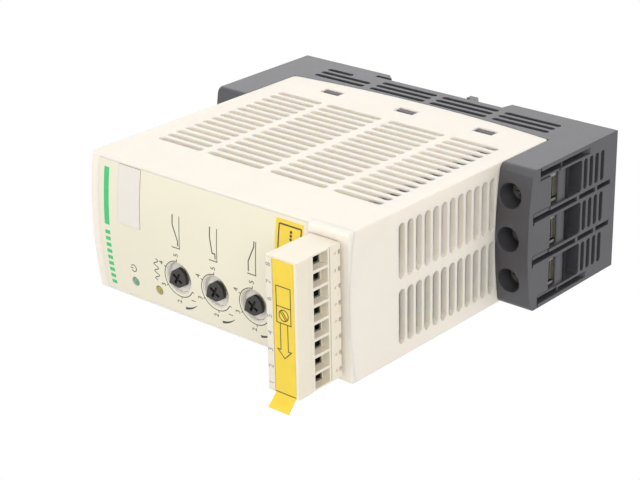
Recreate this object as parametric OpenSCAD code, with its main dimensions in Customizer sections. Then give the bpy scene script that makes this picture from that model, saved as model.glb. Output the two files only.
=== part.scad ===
// Soft starter for a motor, 45 mm wide, made to clip on a 35 mm rail.
// X is the width, Y runs to the rear and Z runs up. The origin is on the rail's seat, at the rail's middle.
// Inside the modules, depths are counted forward from the rear face and heights from the base's middle.

/* [Body] */
// Width of the device
body_w = 44.5; // [44.3:0.1:46]
// Height of the base along Z
base_h = 125; // [123:0.5:135]
// Thickness of each terminal block along Z
tower_t = 11.6; // [11.5:0.1:13]
// Depth of the terminal blocks at the middle of their fronts
tower_d = 46.4; // [45.5:0.1:50]
// Depth of the front face at its middle
front_d = 112.4; // [110:0.2:118]
// How far the front bulges between its sides
front_crown = 2.1; // [1:0.1:3]
// Wall of the front housing
wall = 2.2; // [2:0.05:2.4]
// Wall of the base
base_wall = 2; // [1.6:0.1:2.3]

/* [Rail] */
// Height of the rail
rail_h = 35; // [34.6:0.1:35.2]
// Height of the rail's middle above the base's middle
rail_mid_z = 8.35; // [7:0.05:9]
// Depth of the rail recess
rail_seat_d = 4.1; // [4:0.05:4.5]
// Travel of the latch
latch_travel = 4; // [3:0.1:4.4]

/* [Vents] */
// Distance between the vent slots of the front housing
slot_pitch = 3.84; // [3.6:0.02:4.4]
// Width of a slot in the sides
side_slot_w = 2.3; // [1.6:0.1:2.5]
// Width of a slot in the ends
end_slot_w = 2.8; // [2:0.1:3]

/* [Power terminals] */
// Land of the terminal blocks beside the three poles
pole_side = 2.15; // [2:0.05:2.3]
// Diameter of the round screwdriver openings
driver_hole_dia = 7.7; // [7.2:0.1:7.8]
// Diameter of the clamp screws' thread
clamp_screw_dia = 4; // [3:0.1:4.2]
// Travel of the clamp saddles, three turns of the screw
saddle_travel = 2.1; // [1.5:0.1:2.1]

/* [Controls] */
// Distance between the dials
dial_pitch = 15.05; // [14:0.05:15.5]
// Radius of the round body of a dial
dial_r = 2.8; // [2.6:0.1:3.2]
// Diameter of the well round a dial
well_dia = 9.4; // [9:0.1:10.4]
// Diameter of the indicator lamps
led_dia = 2.8; // [2.4:0.1:3.4]

/* [Control plug] */
// Land of the front beside the control plug
plug_side = 2.45; // [2.3:0.05:2.6]
// Height of the plug along Z
plug_h = 10.85; // [10.4:0.05:11.1]
// Forward reach of the plug past the middle of the front
plug_reach = 18.8; // [18:0.1:22]

/* [Hidden] */

base_grey = "#4b4c50";
cream = "#efe9dc";
pale = "#f1ece2";
label_ivory = "#ebe7d3";
film_yellow = "#f7d13c";
knob_black = "#232427";
board_green = "#2f6b46";
steel = "#b9bcc0";
brass = "#c9ae72";
copper = "#c98c62";
alloy = "#c3c6ca";
dark_part = "#2b2c2f";

over = 1;
seam = 0.2;
facets = 48;
fine_facets = 360;
half_w = body_w / 2;
half_base = base_h / 2;
half_front = half_base - tower_t - seam;

// Places a depth range in front of the rear face
module span(xs, ds, zs) {
  translate([xs[0], -ds[1], zs[0]])
    cube([xs[1] - xs[0], ds[1] - ds[0], zs[1] - zs[0]]);
}

// Extrudes an outline of depth and height along X
module along_x(xs) {
  translate([xs[0], 0, 0])
    rotate([90, 0, 90])
      linear_extrude(xs[1] - xs[0])
        mirror([1, 0])
          children();
}

// Extrudes an outline of width and depth along Z
module along_z(zs) {
  translate([0, 0, zs[0]])
    linear_extrude(zs[1] - zs[0])
      mirror([0, 1])
        children();
}

// A round bar or hole along the depth, centred at x and z
module round_d(x, z, r, ds, n = facets) {
  translate([x, -ds[0], z])
    rotate([90, 0, 0])
      cylinder(r = r, h = ds[1] - ds[0], $fn = n);
}

// A slot outline with round ends, long along its second axis
module slot_outline(w, len) {
  square([w, len - w], center = true);
  for (side = [-1, 1])
    translate([0, side * (len - w) / 2])
      circle(d = w, $fn = facets / 3);
}

// Radius of an arc over a half chord, with the given rise
function arc_r(half, rise) = (half * half + rise * rise) / (2 * rise);

// Depth of a crowned front at a distance x from its middle
function crown_d(mid, crown, x) =
  let (r = arc_r(half_w, crown)) mid - r + sqrt(r * r - x * x);

// Outline of a body with a crowned front and round front corners
module crowned_outline(w2, mid, crown, corner) {
  r = arc_r(half_w, crown);
  x_corner = w2 - corner;
  d_corner = mid - r + sqrt((r - corner) * (r - corner) - x_corner * x_corner);
  x_touch = x_corner * r / (r - corner);
  translate([-w2, 0])
    square([2 * w2, d_corner]);
  for (side = [-1, 1])
    translate([side * x_corner, d_corner])
      circle(r = corner, $fn = facets);
  intersection() {
    translate([0, mid - r])
      circle(r = r, $fn = fine_facets * 2);
    translate([-x_touch, 0])
      square([2 * x_touch, mid + over]);
  }
}

// Puts the model on the frame's origin
module in_frame() {
  translate([0, rail_seat_d, -rail_mid_z])
    children();
}

function mid_of(range) = (range[0] + range[1]) / 2;

// Rail and latch places
rail_top_z = rail_mid_z + rail_h / 2;
rail_low_z = rail_mid_z - rail_h / 2;
lip_t = 2.6;
lip_reach = 2.7;
lip_room = 3;
lip_slope = 3;
recess_drop = 14.4;
recess_low_z = rail_low_z - recess_drop;
recess_slope = 0.9;
latch_gap = 0.15;
hook_lip = 1.8;
hook_t = 4.1;
hook_top = 2.9;
hook_seat = 1.15;
hook_ramp = 0.4;
hook_undercut = 0.5;
hook_side = 0.3;
tongue_w = 14;
tongue_ds = [1.3, 3];
spring_room = 15;
spring_seat_in = 6.95;
spring_seat_z = spring_seat_in - half_base;
tongue_low_z = spring_seat_z + spring_room;
track_lip = 2;
track_lip_t = 1.1;
track_gap = 0.2;
spring_r = 2.1;
spring_wire = 0.5;
spring_turns = 9;
spring_mid_d = 2.6;
spring_pocket_d = 5;

// Base shell
floor_d = 6.3;
tray_corner_d = 19.6;
tray_mid_d = 16.3;
tower_crown = 2.1;
tower_corner = 2.2;
tower_in_z = half_base - tower_t;
skirt_t = 1.5;
skirt_gap = 0.15;
skirt_x = half_w - wall - skirt_gap;
skirt_ds = [15.4, 30];
skirt_end_gap = 3.2;
snap_pitch_share = 0.3;
snap_offset = -1;
snap_window_w = 7.4;
snap_window_ds = [23.5, 27.2];
snap_nose_w = 7.1;
snap_in = 0.35;
snap_reach = wall + skirt_gap - snap_in;
snap_ramp_share = 0.4;
snap_gap = 0.12;
base_slot_w = 1.9;
base_slot_ds = [7.7, 11, 14.3];
base_slot_shares = [[0.37, 0.204], [0.181, 0.004], [-0.015, -0.19], [-0.21, -0.376]];
short_slot_share = 0.284;
post_d = 10.8;
post_w = 5;
post_z_share = 0.27;

// Power terminals, depths from the rear face
pole_pitch = (body_w - 2 * pole_side) / 3;
pole_xs = [-pole_pitch, 0, pole_pitch];
window_wall = 3.4;
window_w = pole_pitch - window_wall;
window_in = [15.8, 11.1];
window_ds = [tower_d - window_in[0], tower_d - window_in[1]];
end_wall = 1.2;
pocket_wall = 4.2;
pocket_w = pole_pitch - pocket_wall;
pocket_in = [17.4, 9];
pocket_ds = [tower_d - pocket_in[0], tower_d - pocket_in[1]];
box_wall = 0.9;
box_gap = 0.2;
box_w = pocket_w - 2 * box_gap;
box_ds = [pocket_ds[0] + box_gap, pocket_ds[1] - box_gap];
box_low_t = 1.2;
box_in = 0.6;
saddle_side = 0.3;
bar_w = box_w - 2 * box_wall - 2 * saddle_side;
bar_t = 1.2;
bar_gap = 0.15;
saddle_w = bar_w;
saddle_t = 1.5;
saddle_gap = 0.3;
saddle_room = 0.2;
box_inner = box_low_t + bar_t + saddle_gap + saddle_t + saddle_travel + saddle_room;
box_top_t = box_ds[1] - box_ds[0] - box_inner;
saddle_in = 0.7;
saddle_groove = 0.4;
screw_out = 7.1;
screw_seat_d = pocket_ds[1];
screw_wall = 1;
screw_pass_r_gap = 0.35;
screw_head_r = 2.8;
screw_head_h = 1.6;
screw_head_gap = 0.25;
screw_slot_w = 1;
screw_slot_t = 0.9;
screw_run = 0.05;
neck_r_share = 0.55;
neck_t = 0.5;
neck_gap = 0.05;
disc_t = 0.4;
disc_r_share = 0.8;
cavity_share = [0.4116, 0.5625];
cavity_ds = [cavity_share[0] * tower_d, cavity_share[1] * tower_d];
cavity_depth = 9;
cavity_corner = 1;
land_drop = 0.75;
land_round = 0.8;
end_vent_w = 1.9;
end_vent_len = 9.7;
end_vent_share = [0.1724, 0.2381, 0.3039, 0.3696];
end_room_gap = [0.3, 0.5];
end_room_ds = [floor_d + end_room_gap[0], cavity_ds[0] - end_room_gap[1]];
end_room_wall = 1.5;
channel_side = 0.4;
channel_w = bar_w + 2 * channel_side;
channel_t = 1.75;
groove_w = 1.5;
groove_depth = 8;
groove_d0 = 3.1;
groove_front_gap = 2.1;
bridge_share = [0.446, 0.235];
bridge_t = 1.1;
tee_reach = [1.45, 2.25];
tee_t = 0.7;
ledge_w = 1.15;
ledge_depth = 0.3;
ledge_line_w = 0.35;
ledge_line_depth = 0.6;
side_groove_w = 1.9;
side_groove_land = 1.2;
side_groove_share = 0.32;
side_groove_front = 5.5;
side_groove_ramp = 4.5;
side_bridge_share = 0.623;
side_bridge_t = 0.5;
side_bridge_drop = 0.8;
side_ledge_w = 0.6;
side_tick_t = 0.6;
side_tick_reach = 0.85;

// Front housing
front_corner = 1.1;
slot_first_d = 36.2;
slot_front_land = 20;
side_slot_shares = [[0.424, 0.2465], [0.22, 0.005], [-0.0276, -0.2347], [-0.2633, -0.434]];
end_slot_first = 3;
end_slot_xs = [1.6, 18.3];
thin_wall = 0.8;
thin_share = 0.379;
thin_top_share = 0.45;
thin_d_gap = 2;
rear_corner = 1.2;
guide_t = 1.3;
guide_gap = 0.1;
board_edge_gap = 2.4;

// Front panel items
side_depth = front_d - front_crown;
label_t = 0.2;
label_edge = 1.3;
label_top_gap = 3;
label_low_gap = 0.4;
marker_z0_share = 0.386;
marker_z1_share = 0.297;
marker_x0 = 2.7;
marker_t = 0.5;
marker_proud = 0.3;
marker_gap = 0.15;
marker_lug_w = 2.4;
marker_lug_d = 1.2;
led_x = -15.7;
led_rise = 9.2;
led_pitch = 10.2;
led_gap = 0.1;
led_flange_r = 1.9;
led_flange_t = 1;
led_proud = 0.45;
led_body_h = 5.2;
led_spacer_r = 2.4;
led_lead_r = 0.25;
led_lead_gap = 1.27;
dial_mid_z = 0;
dial_x = -8.95;
dial_point_r = 4.15;
dial_back_r = 3.5;
dial_rest = 32;
dial_proud = 0.6;
dial_head_t = 1.2;
dial_shaft_r = 1.9;
dial_shaft_in = 1;
dial_bore_gap = 0.05;
dial_slot_w = 0.9;
dial_slot_len = 4;
dial_slot_t = 0.8;
well_bevel = 0.4;
well_wall = 1.2;
well_floor_t = 1.1;
well_floor_gap = 0.9;
well_bore_gap = 0.25;
sticker_t = 0.15;
sticker_gap = 3.35;
sticker_h = 9.8;
sticker_x0 = -4;
sticker_side = 1.1;

// Boards and the parts on them
board_t = 1.6;
control_drop = 14.4;
control_rear_d = front_d - control_drop;
control_x_gap = 0.6;
control_z_gap = 0.6;
post_r = 1.6;
post_inset_x = 3;
post_inset_z = 4.5;
trimmer_w = 9.5;
trimmer_t = 4.8;
trimmer_ring_r = 3;
trimmer_ring_t = 1;
power_in = 3.15;
power_x = wall + power_in - half_w;
power_rear_d = 22;
power_end_gap = 0.2;
power_front_gap = 0.9;
sink_x = 2;
sink_plate_t = 4;
sink_rear_d = 34;
sink_front_gap = 3;
sink_fin_t = 1.4;
sink_fin_pitch = 5.2;
sink_fin_gap = 2.65;
sink_fin_x = half_w - wall - sink_fin_gap;
sink_fin_in = 6.5;
thyristor_t = 7.2;
thyristor_ds = [52, 76];
thyristor_len = 34;
thyristor_pitch = 9;
pin_w = 1;
pin_t = 0.6;
board_end_z = half_front - wall - power_end_gap;
link_depth = 7;
link_len = 18;
link_t = 4;
relay_gap = 0.5;
relay_h = 12.8;
relay_in = 6.3;
relay_len = 29;
relay_t = 15.2;
relay_ds = [control_rear_d - link_depth + relay_gap - relay_h, control_rear_d - link_depth + relay_gap];
relay_zs = [relay_in - board_end_z, relay_in + relay_len - board_end_z];
core_ds = [42, 62];
core_in = 7.3;
core_len = 22;
core_zs = [core_in - board_end_z, core_in + core_len - board_end_z];
core_t = 15;
core_leg_t = 4;
thyristor_gap = 5;
thyristor_zs = [core_zs[1] + thyristor_gap, core_zs[1] + thyristor_gap + thyristor_len];
winding_gap = 0.5;
cap_r = 4.2;
cap_h = 12;
cap_bead = 0.5;
cap_room = 6;
cap_shares = [1 / 6, 3 / 6, 5 / 6];
cap_d = 85;
varistor_r = 4.5;
varistor_t = 3.6;
varistor_lift = 1;
varistor_in = 8.3;
varistor_pitch = 8;
varistor_d = 40;
far_arm_z_share = 0.28;
far_arm_w = 5;
far_bar_d = 15;
near_bar_d = 10.8;
far_tab_d = 30;

// Control plug and its header
plug_n = 8;
plug_pitch = (body_w - 2 * plug_side) / plug_n;
plug_end = 1.95;
plug_z0 = plug_end - half_front;
plug_z1 = plug_z0 + plug_h;
plug_w = plug_n * plug_pitch;
plug_front_d = front_d + plug_reach;
plug_step_len = 5.2;
plug_step_d = plug_front_d - plug_step_len;
plug_step = 0.35;
plug_body_len = 14.5;
plug_body_rear_d = plug_front_d - plug_body_len;
plug_window_wall = 0.85;
plug_window_h = 5.9;
plug_window_w = plug_pitch - plug_window_wall;
plug_window_in = 12.8;
plug_window_ds = [plug_front_d - plug_window_in, plug_front_d - plug_window_in + plug_window_h];
plug_window_t = 2.9;
plug_flange_t = 3.3;
plug_line_in = [0.7, 1.1];
plug_line_ds = [plug_body_rear_d + plug_line_in[0], plug_body_rear_d + plug_line_in[1]];
plug_line_t = 0.5;
plug_comb_w = 1.3;
plug_comb_t = 0.9;
plug_comb_in = 2.2;
plug_mark_w = 0.8;
plug_mark_t = 0.4;
plug_mark_d = 1.7;
plug_neck_low = 3.75;
plug_neck_top = 0.1;
plug_neck_side = 1.2;
plug_neck_d = 9;
plug_rear_d = plug_body_rear_d - plug_flange_t;
cell_wall = 1.05;
cell_w = plug_pitch - cell_wall;
cell_h = 5.2;
cell_room = 6.6;
cell_gap = 0.1;
cell_t = 0.5;
plug_screw_r = 1.5;
plug_screw_head_r = 1.85;
plug_screw_head_t = 1.4;
plug_screw_hole_gap = 0.15;
plug_screw_inset = 0.25;
plug_contact_w = 1.8;
plug_contact_t = 2.4;
plug_contact_bore = 1.2;
tape_t = 0.2;
tape_z_gaps = [2.6, 1.1];
tape_top_gap = 0.5;
tail_len = 4.6;
tail_angle = 45;
marker_strip_w = 2.4;
marker_strip_t = 0.3;
marker_strip_end = 0.4;
mouth_gap = 0.15;
header_wall = 1;
header_gap = 0.2;
header_x = plug_w / 2 - plug_neck_side + header_gap;
header_zs = [plug_z0 + plug_neck_low - header_gap, plug_z1 - plug_neck_top + header_gap];
header_front_d = plug_rear_d - header_gap;
header_floor_d = plug_rear_d - plug_neck_d - header_gap;
pin_len = 6.6;
pin_tail = 0.5;
header_pin_w = 0.9;

tray_arc_r = arc_r(half_front, tray_corner_d - tray_mid_d);
snap_zs = [for (k = [-1:1]) snap_offset + k * snap_pitch_share * 2 * half_front];

// Outline of the rail recess with the fixed lip's undercut
module recess_outline() {
  polygon([
    [-over, rail_top_z + lip_slope - lip_reach + over],
    [lip_t, rail_top_z - lip_reach],
    [lip_t, rail_top_z + lip_room],
    [rail_seat_d, rail_top_z + lip_room],
    [rail_seat_d, recess_low_z + recess_slope],
    [0, recess_low_z],
    [-over, recess_low_z]
  ]);
}

// Channel that guides the latch, narrower at the rear face
module latch_track() {
  low_z = tongue_low_z - latch_travel - track_gap;
  span([-tongue_w / 2 - track_gap, tongue_w / 2 + track_gap],
       [track_lip_t, tongue_ds[1] + track_gap], [low_z, recess_low_z + over]);
  span([track_lip - tongue_w / 2, tongue_w / 2 - track_lip],
       [-over, track_lip_t + track_gap], [low_z, recess_low_z + over]);
  span([-spring_r - track_gap, spring_r + track_gap],
       [-over, spring_pocket_d], [spring_seat_z, tongue_low_z + track_gap]);
}

// Slots in both sides of the base
module base_side_vents() {
  for (row = [0:2], group = [0:3]) {
    z1 = base_slot_shares[group][0] * base_h;
    z0 = (row == 0 && group == 0 ? short_slot_share : base_slot_shares[group][1]) * base_h;
    side_cut(base_slot_ds[row], z0, z1, base_slot_w, base_wall + seam / 2);
  }
}

// One round-ended slot through both side walls
module side_cut(d, z0, z1, w, depth) {
  for (side = [0, 1]) mirror([side, 0, 0])
    translate([half_w - depth, -d, (z0 + z1) / 2])
      rotate([90, 0, 90])
        linear_extrude(depth + over)
          slot_outline(w, z1 - z0);
}

// Skirt inside the front housing, with the noses that snap into its windows
module base_skirt() {
  for (side = [-1, 1]) mirror([side < 0 ? 1 : 0, 0, 0]) {
    span([skirt_x - skirt_t, skirt_x], skirt_ds,
         [skirt_end_gap - half_front, half_front - skirt_end_gap]);
    for (z = snap_zs)
      along_z([z - snap_nose_w / 2, z + snap_nose_w / 2])
        polygon([
          [skirt_x - skirt_t, snap_window_ds[0] + snap_gap],
          [skirt_x + snap_reach, snap_window_ds[0] + snap_gap],
          [skirt_x + snap_reach, mid_of(snap_window_ds)],
          [skirt_x + snap_reach * snap_ramp_share, snap_window_ds[1] - snap_gap],
          [skirt_x - skirt_t, snap_window_ds[1] - snap_gap]
        ]);
  }
}

// Everything cut out of one terminal block, drawn for the upper end
module tower_cuts() {
  out_z = half_base + over;
  for (x = pole_xs) {
    span([x - pocket_w / 2, x + pocket_w / 2], pocket_ds,
         [tower_in_z - over, half_base - end_wall]);
    span([x - window_w / 2, x + window_w / 2], window_ds,
         [half_base - end_wall - over, out_z]);
    round_d(x, half_base - screw_out, driver_hole_dia / 2,
            [screw_seat_d + screw_wall, tower_d + over]);
    round_d(x, half_base - screw_out, clamp_screw_dia / 2 + screw_pass_r_gap,
            [screw_seat_d - over, screw_seat_d + screw_wall + over]);
    span([x - channel_w / 2, x + channel_w / 2], [floor_d, pocket_ds[0] + over],
         [tower_in_z - over, tower_in_z + channel_t]);
    along_z([half_base - cavity_depth, out_z])
      translate([x, 0])
        cavity_outline(window_w, cavity_ds, cavity_corner);
    along_x([x - window_w / 2, x + window_w / 2])
      land_outline();
    span([x - end_vent_len / 2, x + end_vent_len / 2], end_room_ds,
         [tower_in_z - over, half_base - end_room_wall]);
    for (share = end_vent_share)
      translate([x, -share * tower_d, half_base - end_room_wall - over])
        linear_extrude(end_room_wall + 2 * over)
          slot_outline_x(end_vent_w, end_vent_len);
  }
  for (side = [-1, 1]) {
    inner_groove(side * pole_pitch / 2);
    mirror([side < 0 ? 1 : 0, 0, 0])
      outer_groove();
  }
}

// Rectangle of width and depth with round corners at its rear end
module cavity_outline(w, ds, r) {
  translate([-w / 2, ds[0] + r])
    square([w, ds[1] - ds[0] - r]);
  translate([r - w / 2, ds[0]])
    square([w - 2 * r, ds[1] - ds[0]]);
  for (side = [-1, 1])
    translate([side * (w / 2 - r), ds[0] + r])
      circle(r = r, $fn = facets);
}

// Space above the sunk, round-edged land between a wire window and the cavity behind it
module land_outline() {
  top_z = half_base - land_drop;
  r = land_round;
  difference() {
    translate([cavity_ds[1], top_z - r])
      square([window_ds[0] - cavity_ds[1], land_drop + r + over]);
    for (d = [cavity_ds[1] + r, window_ds[0] - r])
      translate([d, top_z - r])
        circle(r = r, $fn = facets);
    translate([cavity_ds[1] + r, top_z - r - over])
      square([window_ds[0] - cavity_ds[1] - 2 * r, r + over]);
  }
}

// Groove between two poles, in three lengths with bridges between them
module inner_groove(x) {
  front = crown_d(tower_d, tower_crown, x) - groove_front_gap;
  bridges = [bridge_share[0] * tower_d, bridge_share[1] * tower_d];
  zs = [half_base - groove_depth, half_base + over];
  edge = x + groove_w / 2 + ledge_w;
  ends = [
    [bridges[0] + bridge_t / 2, front],
    [bridges[1] + bridge_t / 2, bridges[0] - bridge_t / 2],
    [groove_d0, bridges[1] - bridge_t / 2]
  ];
  for (ds = ends)
    span([x - groove_w / 2, x + groove_w / 2], ds, zs);
  span([x - tee_reach[0], x + tee_reach[1]], [front - tee_t, front],
       [half_base - ledge_line_depth, half_base + over]);
  span([x, edge], [window_ds[1], front - tee_t / 2], [half_base - ledge_depth, half_base + over]);
  span([edge, edge + ledge_line_w], [window_ds[1], front - tee_t / 2],
       [half_base - ledge_line_depth, half_base + over]);
}

// Groove beside an outer pole, with a ramp at its rear end and a sunk bridge
module outer_groove() {
  x = half_w - side_groove_land - side_groove_w / 2;
  xs = [x - side_groove_w / 2, x + side_groove_w / 2];
  edge = xs[0] - side_ledge_w;
  ds = [side_groove_share * tower_d, tower_d - side_groove_front];
  bridge_d = side_bridge_share * tower_d;
  top_z = half_base + over;
  difference() {
    along_x(xs)
      polygon([
        [ds[0], top_z],
        [ds[0], half_base],
        [ds[0] + side_groove_ramp, half_base - groove_depth],
        [ds[1], half_base - groove_depth],
        [ds[1], top_z]
      ]);
    span([xs[0] - over, xs[1] + over], [bridge_d - side_bridge_t / 2, bridge_d + side_bridge_t / 2],
         [half_base - groove_depth - over, half_base - side_bridge_drop]);
  }
  span([edge, x], [window_ds[0], ds[1]], [half_base - ledge_depth, top_z]);
  span([edge - ledge_line_w, edge], [window_ds[0], ds[1]], [half_base - ledge_line_depth, top_z]);
  span([edge - ledge_line_w, xs[1] + side_tick_reach], [ds[1] - side_tick_t, ds[1]],
       [half_base - ledge_line_depth, top_z]);
}

module base_housing() {
  color(base_grey) in_frame() difference() {
    union() {
      difference() {
        span([-half_w, half_w], [0, tray_corner_d], [-tower_in_z - over, tower_in_z + over]);
        translate([0, -tray_mid_d - tray_arc_r, 0])
          rotate([0, 90, 0])
            cylinder(r = tray_arc_r, h = body_w + 2 * over, center = true, $fn = fine_facets * 2);
        span([base_wall - half_w, half_w - base_wall], [floor_d, tray_corner_d + over],
             [-tower_in_z - 2 * over, tower_in_z + 2 * over]);
      }
      for (side = [-1, 1]) mirror([side < 0 ? 1 : 0, 0, 0])
        span([skirt_x - skirt_t, half_w - base_wall + seam], [skirt_ds[0], tray_mid_d],
             [skirt_end_gap - half_front, half_front - skirt_end_gap]);
      for (up = [0, 1]) mirror([0, 0, 1 - up])
        along_z([tower_in_z, half_base])
          crowned_outline(half_w, tower_d, tower_crown, tower_corner);
      base_skirt();
      for (x = [-pole_pitch, pole_pitch], side = [-1, 1])
        span([x - bar_w / 2, x + bar_w / 2], [floor_d - over, post_d],
             [side * post_z_share * base_h - post_w / 2, side * post_z_share * base_h + post_w / 2]);
    }
    along_x([-half_w - over, half_w + over])
      recess_outline();
    latch_track();
    base_side_vents();
    for (up = [0, 1]) mirror([0, 0, 1 - up])
      tower_cuts();
  }
}

dial_top_d = crown_d(front_d, front_crown, dial_x) + dial_proud;
dial_head_d = dial_top_d - dial_head_t;
well_floor_d = dial_head_d - well_floor_gap;
slot_rows = floor((side_depth - slot_front_land - slot_first_d) / slot_pitch) + 1;

// Slots through both sides of the front housing
module side_slots() {
  for (row = [0:slot_rows - 1], pair = side_slot_shares) {
    z1 = pair[0] * 2 * half_front;
    z0 = pair[1] * 2 * half_front;
    side_cut(slot_first_d + row * slot_pitch, z0, z1, side_slot_w, wall + seam / 2);
  }
}

// Slots through both ends of the front housing
module end_slots() {
  for (row = [end_slot_first:slot_rows - 1], side = [-1, 1])
    translate([side * mid_of(end_slot_xs), -slot_first_d - row * slot_pitch, 0])
      linear_extrude(2 * (half_front + over), center = true)
        slot_outline_x(end_slot_w, end_slot_xs[1] - end_slot_xs[0]);
}

module slot_outline_x(w, len) {
  rotate([0, 0, 90])
    slot_outline(w, len);
}

// Opening in the front for the fixed half of the connector
mouth_x = header_x + header_wall / 2 + mouth_gap;
mouth_zs = [header_zs[0] - header_wall - mouth_gap, header_zs[1] + header_wall + mouth_gap];
dial_zs = [dial_mid_z + dial_pitch, dial_mid_z, dial_mid_z - dial_pitch];
led_zs = [dial_zs[0] + led_rise + led_pitch, dial_zs[0] + led_rise];
marker_zs = [marker_z1_share * 2 * half_front, marker_z0_share * 2 * half_front];
marker_x1 = half_w - label_edge - marker_gap;

// Guide ribs that hold a board or plate by its edge
module guide(x0, x1, ds, hold_z) {
  for (xs = [[x0 - guide_gap - guide_t, x0 - guide_gap], [x1 + guide_gap, x1 + guide_gap + guide_t]])
    for (up = [0, 1]) mirror([0, 0, 1 - up])
      span(xs, ds, [hold_z, half_front - wall + seam]);
}

board_hold_z = half_front - wall - board_edge_gap;
power_front_d = control_rear_d - power_front_gap;
sink_front_d = control_rear_d - sink_front_gap;

module front_housing() {
  inner_x = half_w - wall;
  inner_z = half_front - wall;
  color(cream) in_frame() difference() {
    union() {
      difference() {
        along_z([-half_front, half_front])
          crowned_outline(half_w, front_d, front_crown, front_corner);
        along_z([-inner_z, inner_z])
          crowned_outline(inner_x, front_d - wall, front_crown * inner_x / half_w, front_corner);
      }
      guide(power_x, power_x + board_t, [skirt_ds[1] + seam, power_front_d - seam], board_hold_z);
      guide(sink_x, sink_x + sink_plate_t, [sink_rear_d, sink_front_d], board_hold_z);
      for (x = [-1, 1], z = [inner_z - post_inset_z, mouth_zs[1] + post_inset_x])
        round_d(x * (inner_x - post_inset_x), z, post_r,
                [control_rear_d + board_t, side_depth - wall / 2]);
      for (z = dial_zs)
        round_d(dial_x, z, well_dia / 2 + well_wall, [well_floor_d - well_floor_t, side_depth]);
    }
    rear_cut();
    side_slots();
    end_slots();
    for (z = snap_zs)
      span([-half_w - over, half_w + over], snap_window_ds,
           [z - snap_window_w / 2, z + snap_window_w / 2]);
    for (side = [-1, 1]) mirror([side < 0 ? 1 : 0, 0, 0])
      span([inner_x - over, half_w - thin_wall],
           [slot_first_d - thin_d_gap, slot_first_d + (slot_rows - 1) * slot_pitch + thin_d_gap],
           [-thin_top_share * 2 * half_front, -thin_share * 2 * half_front]);
    for (z = dial_zs) {
      round_d(dial_x, z, well_dia / 2, [well_floor_d, front_d + over]);
      round_d(dial_x, z, dial_shaft_r + well_bore_gap, [control_rear_d, well_floor_d + over]);
      translate([dial_x, -crown_d(front_d, front_crown, dial_x) - seam, z])
        rotate([-90, 0, 0])
          cylinder(r1 = well_dia / 2 + well_bevel + seam, r2 = well_dia / 2, h = well_bevel + seam,
                   $fn = facets);
    }
    for (z = led_zs)
      round_d(led_x, z, led_dia / 2 + led_gap, [control_rear_d, front_d + over]);
    span([-mouth_x, mouth_x], [control_rear_d, front_d + over], mouth_zs);
    marker_pocket();
    label_pocket();
  }
}

// Cuts the rear edge of the front housing to its arc
module rear_cut() {
  depth = tray_corner_d + over;
  for (up = [0, 1]) mirror([0, 0, 1 - up])
    difference() {
      span([-half_w - over, half_w + over], [tray_corner_d - over, tray_corner_d + seam + rear_corner],
           [half_front - rear_corner, half_front + over]);
      translate([0, -tray_corner_d - seam - rear_corner, half_front - rear_corner])
        rotate([0, 90, 0])
          cylinder(r = rear_corner, h = body_w + 4 * over, center = true, $fn = facets);
    }
  difference() {
    span([-half_w - over, half_w + over], [-over, depth], [-half_front - over, half_front + over]);
    translate([0, -tray_mid_d - seam - tray_arc_r, 0])
      rotate([0, 90, 0])
        cylinder(r = tray_arc_r, h = body_w + 4 * over, center = true, $fn = fine_facets * 2);
  }
}

module marker_pocket() {
  span([marker_x0 - marker_gap, half_w - label_edge],
       [crown_d(front_d, front_crown, marker_x1) - marker_t, front_d + over],
       [marker_zs[0] - marker_gap, marker_zs[1] + marker_gap]);
  for (x = [marker_x0 + marker_lug_w, marker_x1 - 2 * marker_lug_w])
    span([x - marker_gap, x + marker_lug_w + marker_gap],
         [control_rear_d + board_t, front_d + over],
         [mid_of(marker_zs) - marker_lug_w / 2 - marker_gap,
          mid_of(marker_zs) + marker_lug_w / 2 + marker_gap]);
}

// Film outline between two depths of the crowned front
module front_film(xs, zs, d_in, d_out) {
  intersection() {
    along_z(zs)
      difference() {
        crowned_outline(half_w, front_d + d_out, front_crown, front_corner);
        crowned_outline(half_w + over, front_d + d_in, front_crown, front_corner);
      }
    span(xs, [side_depth - 2 * over, front_d + over], [zs[0] - over, zs[1] + over]);
  }
}

label_xs = [label_edge - half_w, half_w - label_edge];
label_zs = [mouth_zs[1] + label_low_gap, half_front - label_top_gap];

module label_pocket() {
  front_film(label_xs, label_zs, -label_t, over);
}

module front_label() {
  color(label_ivory) in_frame() difference() {
    front_film(label_xs, label_zs, -label_t, 0);
    for (z = dial_zs)
      round_d(dial_x, z, well_dia / 2 + well_bevel, [control_rear_d, front_d + over]);
    for (z = led_zs)
      round_d(led_x, z, led_dia / 2 + led_gap, [control_rear_d, front_d + over]);
    span([marker_x0 - marker_gap, half_w], [control_rear_d, front_d + over],
         [marker_zs[0] - marker_gap, marker_zs[1] + marker_gap]);
  }
}

module marker_plate() {
  color(pale) in_frame() {
    difference() {
      along_z(marker_zs)
        difference() {
          crowned_outline(half_w, front_d + marker_proud, front_crown, front_corner);
          translate([-half_w - over, 0])
            square([body_w + 2 * over, crown_d(front_d, front_crown, marker_x1) - marker_t]);
        }
      span([-half_w - over, marker_x0], [control_rear_d, front_d + over],
           [marker_zs[0] - over, marker_zs[1] + over]);
      span([marker_x1, half_w + over], [control_rear_d, front_d + over],
           [marker_zs[0] - over, marker_zs[1] + over]);
    }
    for (x = [marker_x0 + marker_lug_w, marker_x1 - 2 * marker_lug_w])
      span([x, x + marker_lug_w],
           [side_depth - wall - marker_lug_d, crown_d(front_d, front_crown, marker_x1)],
           [mid_of(marker_zs) - marker_lug_w / 2, mid_of(marker_zs) + marker_lug_w / 2]);
  }
}

module panel_sticker() {
  color(film_yellow) in_frame()
    front_film([sticker_x0, label_xs[1] - sticker_side],
               [mouth_zs[1] + sticker_gap, mouth_zs[1] + sticker_gap + sticker_h],
               0, sticker_t);
}

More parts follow.
